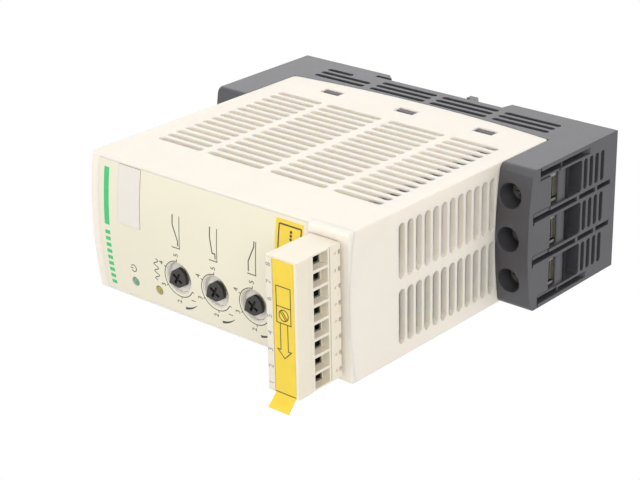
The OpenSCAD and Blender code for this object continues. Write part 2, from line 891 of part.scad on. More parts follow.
// Lamp with a domed tip, a flange and two leads
module lamp(z, shade) {
  tip_d = crown_d(front_d, front_crown, led_x) + led_proud;
  base_d = tip_d - led_body_h;
  color(shade) in_frame() {
    round_d(led_x, z, led_dia / 2, [base_d, tip_d - led_dia / 4]);
    translate([led_x, -tip_d + led_dia / 4, z])
      rotate([90, 0, 0])
        intersection() {
          translate([0, 0, led_dia / 4 - arc_r(led_dia / 2, led_dia / 4)])
            sphere(r = arc_r(led_dia / 2, led_dia / 4), $fn = facets);
          cylinder(r = led_dia / 2, h = led_dia, $fn = facets);
        }
    round_d(led_x, z, led_flange_r, [base_d, base_d + led_flange_t]);
    for (side = [-1, 1])
      round_d(led_x, z + side * led_lead_gap, led_lead_r,
              [control_rear_d, base_d + led_flange_t / 2], 16);
  }
}

module led_spacers() {
  color(pale) in_frame()
    for (z = led_zs) difference() {
      round_d(led_x, z, led_spacer_r,
              [control_rear_d + board_t, crown_d(front_d, front_crown, led_x) + led_proud - led_body_h]);
      for (side = [-1, 1])
        round_d(led_x, z + side * led_lead_gap, led_lead_r + led_gap, [control_rear_d, front_d], 16);
    }
}

module control_board() {
  inner_x = half_w - wall - control_x_gap;
  inner_z = half_front - wall - control_z_gap;
  color(board_green) in_frame() difference() {
    span([-inner_x, inner_x], [control_rear_d, control_rear_d + board_t], [-inner_z, inner_z]);
    for (z = led_zs, side = [-1, 1])
      round_d(led_x, z + side * led_lead_gap, led_lead_r + led_gap,
              [control_rear_d - over, control_rear_d + board_t + over], 16);
    for (k = [0:plug_n - 1])
      span([pole_x(k) - header_pin_w / 2 - led_gap, pole_x(k) + header_pin_w / 2 + led_gap],
           [control_rear_d - over, control_rear_d + board_t + over],
           [plug_mid_z - header_pin_w / 2 - led_gap, plug_mid_z + header_pin_w / 2 + led_gap]);
  }
}

function pole_x(k) = (k - (plug_n - 1) / 2) * plug_pitch;

plug_mid_z = (plug_z0 + plug_z1) / 2;

module power_board() {
  color(board_green) in_frame()
    span([power_x, power_x + board_t], [power_rear_d, power_front_d], [-board_end_z, board_end_z]);
}

module heat_sink() {
  count = floor((sink_front_d - sink_rear_d - sink_fin_t) / sink_fin_pitch) + 1;
  color(alloy) in_frame() {
    span([sink_x, sink_x + sink_plate_t], [sink_rear_d + seam, sink_front_d - seam],
         [-board_end_z, board_end_z]);
    for (k = [0:count - 1])
      span([sink_x + sink_plate_t - seam, sink_fin_x],
           [sink_rear_d + seam + k * sink_fin_pitch, sink_rear_d + seam + k * sink_fin_pitch + sink_fin_t],
           [sink_fin_in - board_end_z, board_end_z - sink_fin_in]);
  }
}

module thyristor_module() {
  body_x0 = sink_x - thyristor_t;
  pin_z0 = mid_of(thyristor_zs) - thyristor_pitch;
  color(dark_part) in_frame() {
    span([body_x0, sink_x], thyristor_ds, thyristor_zs);
    for (k = [0:2])
      span([power_x + board_t, body_x0 + over],
           [mid_of(thyristor_ds) - pin_w / 2, mid_of(thyristor_ds) + pin_w / 2],
           [k * thyristor_pitch - pin_t / 2 + pin_z0, k * thyristor_pitch + pin_t / 2 + pin_z0]);
  }
}

module bypass_relay() {
  color(dark_part) in_frame()
    translate([power_x + board_t, 0, 0])
      span([0, relay_t], relay_ds, relay_zs);
}

// Laminated core with two side legs round the winding
module transformer_core() {
  x0 = power_x + board_t;
  color(steel) in_frame() difference() {
    span([x0, x0 + core_t], core_ds, core_zs);
    for (side = [0, 1])
      span([x0 - over, x0 + core_t + over],
           side == 0
             ? [core_ds[0] + core_leg_t, mid_of(core_ds) - core_leg_t / 2]
             : [mid_of(core_ds) + core_leg_t / 2, core_ds[1] - core_leg_t],
           [core_zs[0] + core_leg_t, core_zs[1] - core_leg_t]);
  }
}

module transformer_winding() {
  x0 = power_x + board_t;
  color(copper) in_frame() difference() {
    span([x0 + seam, x0 + core_t - seam],
         [core_ds[0] + core_leg_t + winding_gap, core_ds[1] - core_leg_t - winding_gap],
         [core_zs[0] + core_leg_t + winding_gap, core_zs[1] - core_leg_t - winding_gap]);
    span([x0 - over, x0 + core_t + over],
         [mid_of(core_ds) - core_leg_t / 2, mid_of(core_ds) + core_leg_t / 2],
         [core_zs[0], core_zs[1]]);
  }
}

// Round capacitors standing on the power board
module capacitors() {
  low_z = relay_zs[1] + cap_room;
  color(dark_part) in_frame()
    for (share = cap_shares)
      translate([power_x + board_t, -cap_d, low_z + share * (board_end_z - cap_room - low_z)])
        rotate([0, 90, 0])
          rotate_extrude($fn = facets)
            polygon([
              [0, 0], [cap_r, 0], [cap_r, cap_bead * 2], [cap_r - cap_bead, cap_bead * 3],
              [cap_r, cap_bead * 4], [cap_r, cap_h], [0, cap_h]
            ]);
}

module varistors() {
  color("#3a62a8") in_frame()
    for (k = [0:2]) {
      z = board_end_z - varistor_in - k * varistor_pitch;
      translate([power_x + board_t + varistor_r + varistor_lift, -varistor_d, z])
        cylinder(r = varistor_r, h = varistor_t, center = true, $fn = facets);
      for (side = [-1, 1])
        span([power_x + board_t, power_x + board_t + varistor_r],
             [varistor_d + side * varistor_r / 2 - pin_t / 2, varistor_d + side * varistor_r / 2 + pin_t / 2],
             [z - pin_t / 2, z + pin_t / 2]);
    }
}

module board_connector() {
  color(dark_part) in_frame()
    span([power_x + board_t, power_x + board_t + link_t],
         [control_rear_d - link_depth, control_rear_d], [-link_len / 2, link_len / 2]);
}

// Path of a bar from a clamp box down the terminal block and into the tray, as a depth and height outline
module bar_outline(run_d, end_z) {
  z_leg = tower_in_z + bar_gap;
  box_d = box_ds[0] + box_low_t;
  z_out = half_base - end_wall - box_gap - box_in;
  polygon([
    [run_d, end_z],
    [run_d, z_leg + bar_t],
    [box_d, z_leg + bar_t],
    [box_d, z_out],
    [box_d + bar_t, z_out],
    [box_d + bar_t, z_leg],
    [run_d + bar_t, z_leg],
    [run_d + bar_t, end_z]
  ]);
}

// Bar that runs straight through from the upper block to the lower one
module through_bar(x) {
  color(brass) in_frame()
    for (up = [0, 1]) mirror([0, 0, 1 - up])
      along_x([x - bar_w / 2, x + bar_w / 2])
        bar_outline(near_bar_d, 0);
}

// Middle pole's bar, which turns sideways to the power board
module middle_bar(up) {
  arm_z = far_arm_z_share * base_h;
  color(brass) in_frame() mirror([0, 0, 1 - up]) {
    along_x([-bar_w / 2, bar_w / 2])
      bar_outline(far_bar_d, arm_z);
    span([power_x + board_t, bar_w / 2], [far_bar_d, far_bar_d + bar_t],
         [arm_z, arm_z + far_arm_w]);
    span([power_x + board_t, power_x + board_t + bar_t], [far_bar_d, far_tab_d],
         [arm_z, arm_z + far_arm_w]);
  }
}

// One clamp box, drawn for the upper end
module clamp_box(x) {
  z0 = tower_in_z + bar_gap + bar_t + box_gap;
  z1 = half_base - end_wall - box_gap;
  difference() {
    span([x - box_w / 2, x + box_w / 2], box_ds, [z0, z1]);
    span([x - box_w / 2 + box_wall, x + box_w / 2 - box_wall],
         [box_ds[0] + box_low_t, box_ds[1] - box_top_t], [z0 - over, z1 + over]);
    round_d(x, half_base - screw_out, clamp_screw_dia / 2 + screw_run,
            [box_ds[1] - box_top_t - over, box_ds[1] + over]);
  }
}

module clamp_boxes(up) {
  color(steel) in_frame() mirror([0, 0, 1 - up])
    for (x = pole_xs)
      clamp_box(x);
}

saddle_low_d = box_ds[0] + box_low_t + bar_t + saddle_gap;
saddle_high_d = saddle_low_d + saddle_t;

// Saddle that presses the wire, held on the screw's tip
module saddle(x, up) {
  z0 = tower_in_z + bar_gap + bar_t + box_gap + saddle_in;
  z1 = half_base - end_wall - box_gap - saddle_in;
  screw_r = clamp_screw_dia / 2;
  color(steel) in_frame() mirror([0, 0, 1 - up]) difference() {
    span([x - saddle_w / 2, x + saddle_w / 2], [saddle_low_d, saddle_high_d], [z0, z1]);
    round_d(x, half_base - screw_out, screw_r * neck_r_share + screw_run,
            [saddle_high_d - neck_t - neck_gap, saddle_high_d + over]);
    round_d(x, half_base - screw_out, screw_r * disc_r_share + screw_run,
            [saddle_high_d - neck_t - disc_t - 3 * neck_gap, saddle_high_d - neck_t + neck_gap]);
    for (k = [-1:1])
      along_z([z0 - over, z1 + over])
        translate([x + k * saddle_w / 3, saddle_low_d])
          rotate([0, 0, 45])
            square(saddle_groove, center = true);
  }
}

// Clamp screw with a cross-slotted head, a thread shank and a necked tip
module clamp_screw(x, up) {
  z = half_base - screw_out;
  screw_r = clamp_screw_dia / 2;
  head_d = screw_seat_d + screw_wall + screw_head_gap;
  color(steel) in_frame() mirror([0, 0, 1 - up]) difference() {
    union() {
      round_d(x, z, screw_head_r, [head_d, head_d + screw_head_h]);
      round_d(x, z, screw_r, [saddle_high_d + neck_gap, head_d + seam]);
      round_d(x, z, screw_r * neck_r_share,
              [saddle_high_d - neck_t - disc_t, saddle_high_d + seam]);
      round_d(x, z, screw_r * disc_r_share,
              [saddle_high_d - neck_t - disc_t - neck_gap, saddle_high_d - neck_t - neck_gap]);
    }
    for (turn = [0, 90])
      translate([x, -head_d - screw_head_h, z])
        rotate([0, turn, 0])
          cube([2 * screw_head_r * disc_r_share, 2 * screw_slot_t, screw_slot_w], center = true);
  }
}

// Trimmer on the control board, with a bore for the dial's shaft
module trimmer(z) {
  color(pale) in_frame() difference() {
    union() {
      span([dial_x - trimmer_w / 2, dial_x + trimmer_w / 2],
           [control_rear_d + board_t, control_rear_d + board_t + trimmer_t],
           [z - trimmer_w / 2, z + trimmer_w / 2]);
      round_d(dial_x, z, trimmer_ring_r,
              [control_rear_d + board_t, control_rear_d + board_t + trimmer_t + trimmer_ring_t]);
    }
    round_d(dial_x, z, dial_shaft_r + dial_bore_gap,
            [control_rear_d + board_t + dial_shaft_in,
             control_rear_d + board_t + trimmer_t + trimmer_ring_t + over]);
  }
}

// Dial outline, pointing along +Y of the sketch: a round body, a pointed front and a straight-sided back
module dial_outline() {
  touch = acos(dial_r / dial_point_r);
  circle(r = dial_r, $fn = facets);
  intersection() {
    circle(r = dial_back_r, $fn = facets);
    translate([-dial_r, -dial_back_r])
      square([2 * dial_r, dial_back_r]);
  }
  polygon([
    [0, dial_point_r],
    [dial_r * sin(touch), dial_r * cos(touch)],
    [0, 0],
    [-dial_r * sin(touch), dial_r * cos(touch)]
  ]);
}

module dial(z) {
  color(knob_black) in_frame() difference() {
    union() {
      translate([dial_x, -dial_head_d, z])
        rotate([90, -dial_rest, 0])
          linear_extrude(dial_head_t)
            dial_outline();
      round_d(dial_x, z, dial_shaft_r,
              [control_rear_d + board_t + dial_shaft_in + dial_bore_gap, dial_head_d + seam]);
    }
    for (turn = [0, 90])
      translate([dial_x, -dial_top_d, z])
        rotate([0, dial_rest + turn, 0])
          cube([dial_slot_len, 2 * dial_slot_t, dial_slot_w], center = true);
  }
}

// Plug outline along its length: front block, step and comb flange
module plug_shell() {
  difference() {
    union() {
      span([-plug_w / 2, plug_w / 2], [plug_step_d, plug_front_d], [plug_z0, plug_z1]);
      span([-plug_w / 2, plug_w / 2], [plug_rear_d, plug_step_d + seam], [plug_z0 + plug_step, plug_z1]);
      span([plug_neck_side - plug_w / 2, plug_w / 2 - plug_neck_side],
           [plug_rear_d - plug_neck_d, plug_rear_d + seam],
           [plug_z0 + plug_neck_low, plug_z1 - plug_neck_top]);
    }
    span([-plug_w / 2 - over, plug_w / 2 + over], plug_line_ds,
         [plug_z0 - over, plug_z0 + plug_step + plug_line_t]);
    for (k = [0:plug_n - 1]) {
      x = pole_x(k);
      span([x - plug_window_w / 2, x + plug_window_w / 2], plug_window_ds,
           [plug_z0 - over, plug_z0 + plug_window_t]);
      span([x - cell_w / 2, x + cell_w / 2], [cell_mid_d - cell_h / 2, cell_mid_d + cell_h / 2],
           [plug_z0 + plug_window_t - over, plug_z0 + plug_window_t + cell_room]);
      round_d(x, plug_screw_z, plug_screw_head_r + plug_screw_hole_gap,
              [plug_window_ds[1] - over, plug_front_d + over]);
      span([x - plug_contact_w / 2 - cell_gap, x + plug_contact_w / 2 + cell_gap],
           [plug_rear_d - plug_neck_d - over, plug_window_ds[0] + over],
           [plug_mid_z - plug_contact_t / 2 - cell_gap, plug_mid_z + plug_contact_t / 2 + cell_gap]);
      span([x - plug_comb_w / 2, x + plug_comb_w / 2], [plug_rear_d - over, plug_rear_d + plug_comb_t],
           [plug_z0 - over, plug_z0 + plug_comb_in]);
      span([x - plug_mark_w / 2, x + plug_mark_w / 2],
           [plug_rear_d + plug_mark_d, plug_rear_d + plug_mark_d + plug_mark_w],
           [plug_z0 - over, plug_z0 + plug_step + plug_mark_t]);
    }
  }
}

plug_screw_z = plug_z0 + plug_window_t + cell_room / 2;
cell_mid_d = mid_of(plug_window_ds);

module plug_body() {
  color(cream) in_frame()
    plug_shell();
}

// Wire clamps of the plug, open towards the wire
module plug_clamps() {
  color(steel) in_frame()
    for (k = [0:plug_n - 1]) {
      x = pole_x(k);
      difference() {
        span([x - cell_w / 2 + cell_gap, x + cell_w / 2 - cell_gap],
             [cell_mid_d - cell_h / 2 + cell_gap, cell_mid_d + cell_h / 2 - cell_gap],
             [plug_z0 + plug_window_t, plug_z0 + plug_window_t + cell_room - cell_gap]);
        span([x - cell_w / 2 + cell_gap + cell_t, x + cell_w / 2 - cell_gap - cell_t],
             [cell_mid_d - cell_h / 2 + cell_gap + cell_t, cell_mid_d + cell_h / 2 - cell_gap - cell_t],
             [plug_z0 + plug_window_t - over, plug_z0 + plug_window_t + cell_room + over]);
        round_d(x, plug_screw_z, plug_screw_r + plug_screw_hole_gap,
                [cell_mid_d, plug_front_d]);
      }
    }
}

module plug_screws() {
  top_d = plug_front_d - plug_screw_inset;
  color(steel) in_frame()
    for (k = [0:plug_n - 1]) difference() {
      union() {
        round_d(pole_x(k), plug_screw_z, plug_screw_head_r, [top_d - plug_screw_head_t, top_d], 32);
        round_d(pole_x(k), plug_screw_z, plug_screw_r,
                [cell_mid_d + cell_h / 2 - cell_t - 2 * cell_gap, top_d - plug_screw_head_t + seam], 32);
      }
      translate([pole_x(k), -top_d, plug_screw_z])
        cube([2 * plug_screw_head_r + over, plug_screw_head_t, screw_slot_w / 2], center = true);
    }
}

// Spring contacts that grip the header's pins
module plug_contacts() {
  rear_d = plug_rear_d - plug_neck_d + cell_t;
  color(brass) in_frame()
    for (k = [0:plug_n - 1]) difference() {
      span([pole_x(k) - plug_contact_w / 2, pole_x(k) + plug_contact_w / 2],
           [rear_d, cell_mid_d - cell_h / 2 + cell_gap],
           [plug_mid_z - plug_contact_t / 2, plug_mid_z + plug_contact_t / 2]);
      span([pole_x(k) - plug_contact_bore / 2, pole_x(k) + plug_contact_bore / 2],
           [rear_d - over, rear_d + pin_len + over],
           [plug_mid_z - plug_contact_bore / 2, plug_mid_z + plug_contact_bore / 2]);
    }
}

// Film over the plug's screws, with a loose tail past its end
module plug_tape() {
  zs = [plug_z0 + tape_z_gaps[1], plug_z1 - tape_z_gaps[0]];
  color(film_yellow) in_frame() {
    span([-plug_w / 2, plug_w / 2 - tape_top_gap], [plug_front_d, plug_front_d + tape_t], zs);
    along_z(zs)
      polygon([
        [-plug_w / 2, plug_front_d],
        [-plug_w / 2, plug_front_d + tape_t],
        [-plug_w / 2 - tail_len * cos(tail_angle), plug_front_d + tape_t + tail_len * sin(tail_angle)],
        [-plug_w / 2 - tail_len * cos(tail_angle) - tape_t, plug_front_d + tail_len * sin(tail_angle)]
      ]);
  }
}

module plug_marker() {
  color("#dcdbd4") in_frame()
    span([marker_strip_end - plug_w / 2, plug_w / 2 - marker_strip_end],
         [plug_front_d, plug_front_d + marker_strip_t], [plug_z1 - marker_strip_w, plug_z1 - seam]);
}

// Fixed half of the connector, a trough open to the front
module header_body() {
  rear_d = control_rear_d + board_t;
  color(cream) in_frame() difference() {
    span([-header_x - header_wall / 2, header_x + header_wall / 2], [rear_d, header_front_d],
         [header_zs[0] - header_wall, header_zs[1] + header_wall]);
    span([-header_x, header_x], [header_floor_d, header_front_d + over], header_zs);
    for (k = [0:plug_n - 1])
      span([pole_x(k) - header_pin_w / 2, pole_x(k) + header_pin_w / 2],
           [rear_d - over, header_floor_d + over],
           [plug_mid_z - header_pin_w / 2, plug_mid_z + header_pin_w / 2]);
  }
}

module header_pins() {
  color(brass) in_frame()
    for (k = [0:plug_n - 1])
      span([pole_x(k) - header_pin_w / 2, pole_x(k) + header_pin_w / 2],
           [control_rear_d - pin_tail, header_floor_d + pin_len],
           [plug_mid_z - header_pin_w / 2, plug_mid_z + header_pin_w / 2]);
}

// Hooked bar across the device and the tongue that guides it
module rail_latch() {
  hook_z = rail_low_z - latch_gap;
  color(dark_part) in_frame() {
    along_x([hook_side - half_w, half_w - hook_side])
      polygon([
        [rail_seat_d - latch_gap, hook_z],
        [rail_seat_d - latch_gap - hook_seat, hook_z],
        [rail_seat_d - latch_gap - hook_seat - hook_ramp, hook_z + hook_lip],
        [latch_gap, hook_z + hook_lip],
        [latch_gap, hook_z + hook_lip - hook_top],
        [rail_seat_d - latch_gap, hook_z - hook_t]
      ]);
    span([-tongue_w / 2, tongue_w / 2], tongue_ds, [tongue_low_z, hook_z - hook_undercut]);
  }
}

spring_len = tongue_low_z - spring_seat_z;
spring_rings = spring_turns * 12;
spring_sides = 6;

// Point on the spring's wire, k along it and s round it
function spring_point(k, s) =
  let (
    a = 360 * spring_turns * k / spring_rings,
    r = spring_r - spring_wire / 2,
    z = spring_seat_z + spring_wire / 2 + (spring_len - spring_wire) * k / spring_rings,
    t = 360 * s / spring_sides,
    rr = r + spring_wire / 2 * cos(t)
  )
  [rr * cos(a), -spring_mid_d + rr * sin(a), z + spring_wire / 2 * sin(t)];

module latch_spring() {
  n = spring_sides;
  points = [for (k = [0:spring_rings], s = [0:n - 1]) spring_point(k, s)];
  walls = [
    for (k = [0:spring_rings - 1], s = [0:n - 1])
      [k * n + s, (k + 1) * n + s, (k + 1) * n + (s + 1) % n, k * n + (s + 1) % n]
  ];
  ends = [[for (s = [0:n - 1]) s], [for (s = [n - 1:-1:0]) spring_rings * n + s]];
  color(steel) in_frame()
    polyhedron(points, concat(walls, ends), convexity = spring_turns);
}

base_housing();
front_housing();
front_label();
marker_plate();
panel_sticker();
lamp(led_zs[0], "#5f9b7c");  // power_led
lamp(led_zs[1], "#a3a02c");  // run_led
led_spacers();
control_board();
power_board();
heat_sink();
thyristor_module();
bypass_relay();
transformer_core();
transformer_winding();
capacitors();
varistors();
board_connector();
through_bar(pole_xs[0]);  // left_bus_bar
through_bar(pole_xs[2]);  // right_bus_bar
middle_bar(1);  // line_middle_bar
middle_bar(0);  // load_middle_bar
clamp_boxes(1);  // line_clamp_boxes
clamp_boxes(0);  // load_clamp_boxes
header_body();
header_pins();
trimmer(dial_zs[0]);  // start_trimmer
trimmer(dial_zs[1]);  // level_trimmer
trimmer(dial_zs[2]);  // stop_trimmer
dial(dial_zs[0]);  // start_dial
dial(dial_zs[1]);  // level_dial
dial(dial_zs[2]);  // stop_dial
plug_body();
plug_screws();
plug_clamps();
plug_contacts();
plug_tape();
plug_marker();
rail_latch();
latch_spring();
saddle(pole_xs[0], 1);  // line_saddle_left
saddle(pole_xs[1], 1);  // line_saddle_middle
saddle(pole_xs[2], 1);  // line_saddle_right
saddle(pole_xs[0], 0);  // load_saddle_left
saddle(pole_xs[1], 0);  // load_saddle_middle
saddle(pole_xs[2], 0);  // load_saddle_right
clamp_screw(pole_xs[0], 1);  // line_screw_left
clamp_screw(pole_xs[1], 1);  // line_screw_middle
clamp_screw(pole_xs[2], 1);  // line_screw_right
clamp_screw(pole_xs[0], 0);  // load_screw_left
clamp_screw(pole_xs[1], 0);  // load_screw_middle
clamp_screw(pole_xs[2], 0);  // load_screw_right
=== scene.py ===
"""Finishes, printing and studio of a slim soft starter for a 35 mm rail."""
import math

import bmesh
import bpy
from bpy.props import FloatProperty, FloatVectorProperty, PointerProperty
from bpy.types import Operator, Panel, PropertyGroup
from mathutils import Matrix, Vector


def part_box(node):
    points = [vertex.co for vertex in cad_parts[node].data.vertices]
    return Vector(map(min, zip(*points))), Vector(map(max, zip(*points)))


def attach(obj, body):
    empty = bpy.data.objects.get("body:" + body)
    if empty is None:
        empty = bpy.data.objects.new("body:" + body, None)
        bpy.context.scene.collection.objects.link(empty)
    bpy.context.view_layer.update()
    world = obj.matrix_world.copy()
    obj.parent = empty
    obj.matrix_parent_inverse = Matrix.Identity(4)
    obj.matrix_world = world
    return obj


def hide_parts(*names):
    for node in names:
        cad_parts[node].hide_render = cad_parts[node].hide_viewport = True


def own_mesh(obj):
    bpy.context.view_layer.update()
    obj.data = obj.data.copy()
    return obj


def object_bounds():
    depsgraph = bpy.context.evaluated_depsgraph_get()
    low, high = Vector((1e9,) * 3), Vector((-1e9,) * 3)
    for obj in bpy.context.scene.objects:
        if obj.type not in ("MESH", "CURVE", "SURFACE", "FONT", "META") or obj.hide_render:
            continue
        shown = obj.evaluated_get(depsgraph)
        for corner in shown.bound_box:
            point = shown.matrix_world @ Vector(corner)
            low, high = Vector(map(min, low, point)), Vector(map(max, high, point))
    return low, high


bl_info = {
    "name": "Soft Starter Finishes",
    "version": (1, 0, 0),
    "blender": (4, 5, 0),
    "location": "View3D > Sidebar > Soft Starter",
    "description": "Materials, printing and studio for a rail mounted soft starter",
    "category": "Object",
}

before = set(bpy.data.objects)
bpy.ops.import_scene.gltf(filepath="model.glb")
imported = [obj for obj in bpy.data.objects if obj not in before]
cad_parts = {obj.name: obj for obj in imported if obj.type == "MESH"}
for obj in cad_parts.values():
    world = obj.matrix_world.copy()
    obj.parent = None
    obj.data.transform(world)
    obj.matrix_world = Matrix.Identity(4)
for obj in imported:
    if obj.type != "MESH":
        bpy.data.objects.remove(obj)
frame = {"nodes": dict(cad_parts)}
cad_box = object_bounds()
NODES = frame["nodes"]
MM = 0.001

# Noise hardly leaves this band, so it is spread from here to the whole of what it drives
NOISE_BAND = (0.3, 0.7)
# Thickness of the front film and of the tape, and of the thinner sticker
FILM_T = 0.2 * MM
STICKER_T = 0.15 * MM
# Where the scale round a dial has its ticks, in degrees from +X towards +Z, from 5 down to 1
TICK_ANGLES = (2, 62, 122, 182, 242)
# Where its numbers stand: the last is turned back, clear of the wedge that shows the way up
NUMBER_ANGLES = (3, 62, 118, 173, 222)
WEDGE_ANGLES = (187, 222)
# Curves over time that the dials set, in millimetres right and up from where the curve starts,
# and the pair of axes that every sign has
DIAL_SIGNS = {
    "start": [(0, 0), (1.6, 0), (6.4, 2.1), (9.4, 2.1)],
    "level": [(0, 0), (1.6, 0), (1.6, 1.1), (6.4, 2.1), (9.4, 2.1)],
    "stop": [(0, 2.1), (3, 2.1), (7.8, 0), (9.4, 0)],
}
SIGN_AXES = [(-0.7, 2.5), (-0.7, -0.7), (9.4, -0.7)]
# Height of a numeral in Blender's own font, as a share of the font's size
NUMERAL_SHARE = 0.7
# The front film is crowned, so the print is cut into strips this wide to follow it
STRIP = 1.5 * MM
# Points closer than this are one
WELD = 0.0005 * MM


def linear(hex_colour):
    """Linear colour of an sRGB hex value such as #efe9dc."""
    parts = [int(hex_colour[i:i + 2], 16) / 255 for i in (1, 3, 5)]
    return tuple(c / 12.92 if c <= 0.04045 else ((c + 0.055) / 1.055) ** 2.4 for c in parts)


def colour_property(name, hex_colour, description):
    return FloatVectorProperty(name=name, description=description, subtype="COLOR", size=3,
                               min=0, max=1, default=linear(hex_colour))


def size_property(name, metres, description):
    return FloatProperty(name=name, description=description, default=metres, min=0,
                         subtype="DISTANCE", unit="LENGTH", precision=5)


def power_property(name, watts, description):
    return FloatProperty(name=name, description=description, default=watts, min=0, max=60)


class SoftStarterColours(PropertyGroup):
    """Colours of the plastics, films, inks and metals."""

    housing: colour_property("Housing", "#f6ecdf", "Cream of the moulded front housing")
    base: colour_property("Base", "#4a494d", "Dark grey of the base and its terminal blocks")
    plug: colour_property("Plug", "#eee5d2", "Cream of the control plug")
    label: colour_property("Label", "#ece6cf", "Ivory of the front film")
    marker: colour_property("Marker plate", "#e9e3d9", "White of the clip-in marker plate")
    film: colour_property("Yellow film", "#f0d034", "Yellow of the tape and the sticker")
    knob: colour_property("Dials", "#241f1c", "Black of the dials")
    trimmer: colour_property("Trimmers", "#e4e0d4", "White of the trimmers behind the dials")
    green_lamp: colour_property("Power lamp", "#6aa184", "Tint of the power lamp")
    yellow_lamp: colour_property("Run lamp", "#a09b2c", "Tint of the run lamp")
    green_ink: colour_property("Green ink", "#41c47c", "Green of the printed bars")
    dark_ink: colour_property("Dark ink", "#454138", "Dark ink of the scales")
    grey_ink: colour_property("Grey ink", "#9c9a92", "Grey ink of the plug's numbers")
    zinc: colour_property("Zinc", "#8e8d85", "Plated steel of screws and clamps")
    tin: colour_property("Tin", "#96938b", "Tinned brass of bars, pins and contacts")


class SoftStarterPrint(PropertyGroup):
    """Sizes of the printed lines, numbers and signs."""

    line: size_property("Line", 0.27 * MM, "Width of the fine printed lines")
    ink: size_property("Ink", 0.03 * MM, "Height of the ink over its film")
    arc: size_property("Scale radius", 5.75 * MM, "Radius of the scale round a dial")
    drop: size_property("Scale drop", 0.4 * MM, "Distance of the scales below the dials, as printed")
    tick: size_property("Tick", 0.6 * MM, "Length of the ticks outside the scale")
    number: size_property("Number", 1.75 * MM, "Height of the numbers round a dial")
    number_out: size_property("Number radius", 7.7 * MM, "Distance of the numbers from the dial's axis")
    wedge_out: size_property("Wedge radius", 9.4 * MM, "Radius of the wedge that shows the way up")
    wedge: size_property("Wedge", 0.85 * MM, "Width of the wedge at its thick end")
    sign_out: size_property("Dial sign", 10.4 * MM, "Start of a dial's sign, from the dial's axis")
    lamp_out: size_property("Lamp sign", 3.4 * MM, "Start of a lamp's sign, from the lamp's axis")
    bar: size_property("Bar", 2.1 * MM, "Width of the green bar")
    frame: size_property("Frame", 0.45 * MM, "Width of the line round the sticker")
    plug_number: size_property("Plug number", 1.7 * MM, "Height of the numbers on the plug")


class SoftStarterStudio(PropertyGroup):
    """Floor and light."""

    drop: size_property("Floor drop", 0.42, "Distance of the floor below the device")
    world: FloatProperty(name="World", description="Strength of the even light", default=0.7,
                         min=0, max=2)
    key: power_property("Key lamp", 1.05, "Power of the lamp over the slotted side")
    fill: power_property("Fill lamp", 1.85, "Power of the lamp beside the front")
    near: power_property("Near lamp", 0.95, "Power of the lamp beside the camera")
    rim: power_property("Rim lamp", 1.6, "Power of the lamp that glances off the slotted side")


def add_node(material, kind, inputs=None, **settings):
    """Adds one shader node; an input is a value, or the output socket that feeds it."""
    tree = material.node_tree
    node = tree.nodes.new(kind)
    for name, value in settings.items():
        setattr(node, name, value)
    for name, value in (inputs or {}).items():
        if isinstance(value, bpy.types.NodeSocket):
            tree.links.new(value, node.inputs[name])
        else:
            node.inputs[name].default_value = value
    return node


def new_material(name):
    """An empty material, and the object's own coordinates in it, in metres."""
    material = bpy.data.materials.new(name)
    material.use_nodes = True
    material.node_tree.nodes.clear()
    return material, add_node(material, "ShaderNodeTexCoord").outputs["Object"]


def surface(name, colour, metal=0.0, rough=0.5, ior=1.5, blotch=8 * MM, mottle=2, vary=0.02,
            gloss_vary=0.05, grain=0.3 * MM, relief=0.01 * MM, edge=0.25 * MM, stretch=(1, 1, 1),
            **sockets):
    """A solid finish: its tone drifts over each blotch, and its skin has a relief of grain.

    Mottle is how finely the tone is broken up, stretch draws the grain out along an axis, edge is
    the radius of the moulded edges, and sockets are further values of the shader.
    """
    material, place = new_material(name)
    low, high = NOISE_BAND
    drift = add_node(material, "ShaderNodeTexNoise", {
        "Vector": place, "Scale": 1 / blotch, "Detail": mottle})
    tone = add_node(material, "ShaderNodeValToRGB", {"Fac": drift.outputs["Fac"]})
    dark, light = tone.color_ramp.elements
    dark.position, light.position = low, high
    dark.color = [c * (1 - vary) for c in colour] + [1]
    light.color = [min(1, c * (1 + vary)) for c in colour] + [1]
    drawn = add_node(material, "ShaderNodeMapping", {"Vector": place, "Scale": [1 / s for s in stretch]})
    skin = add_node(material, "ShaderNodeTexNoise", {
        "Vector": drawn.outputs["Vector"], "Scale": 1 / grain, "Detail": 3})
    gloss = add_node(material, "ShaderNodeMapRange", {
        "Value": skin.outputs["Fac"], "From Min": low, "From Max": high,
        "To Min": rough - gloss_vary, "To Max": rough + gloss_vary})
    rounded = add_node(material, "ShaderNodeBevel", {"Radius": edge}, samples=4)
    bump = add_node(material, "ShaderNodeBump", {
        "Strength": 1, "Distance": relief, "Height": skin.outputs["Fac"],
        "Normal": rounded.outputs["Normal"]})
    values = {socket.replace("_", " "): value for socket, value in sockets.items()}
    shader = add_node(material, "ShaderNodeBsdfPrincipled", {
        "Base Color": tone.outputs["Color"], "Roughness": gloss.outputs["Result"], "Metallic": metal,
        "IOR": ior, "Normal": bump.outputs["Normal"], **values})
    add_node(material, "ShaderNodeOutputMaterial", {"Surface": shader.outputs["BSDF"]})
    return material


def moulded_abs(colours):
    """ABS from a spark-eroded mould: a dry satin skin that glows a little in its slots.

    The eroded grain is about 0.1 mm, and is drawn at 0.35 mm to show.
    """
    return surface("Moulded ABS", colours.housing, rough=0.5, ior=1.53, blotch=14 * MM, vary=0.012,
                   grain=0.35 * MM, relief=0.006 * MM, edge=0.5 * MM, Subsurface_Weight=0.4,
                   Subsurface_Radius=(3, 2.2, 1.3), Subsurface_Scale=1 * MM)


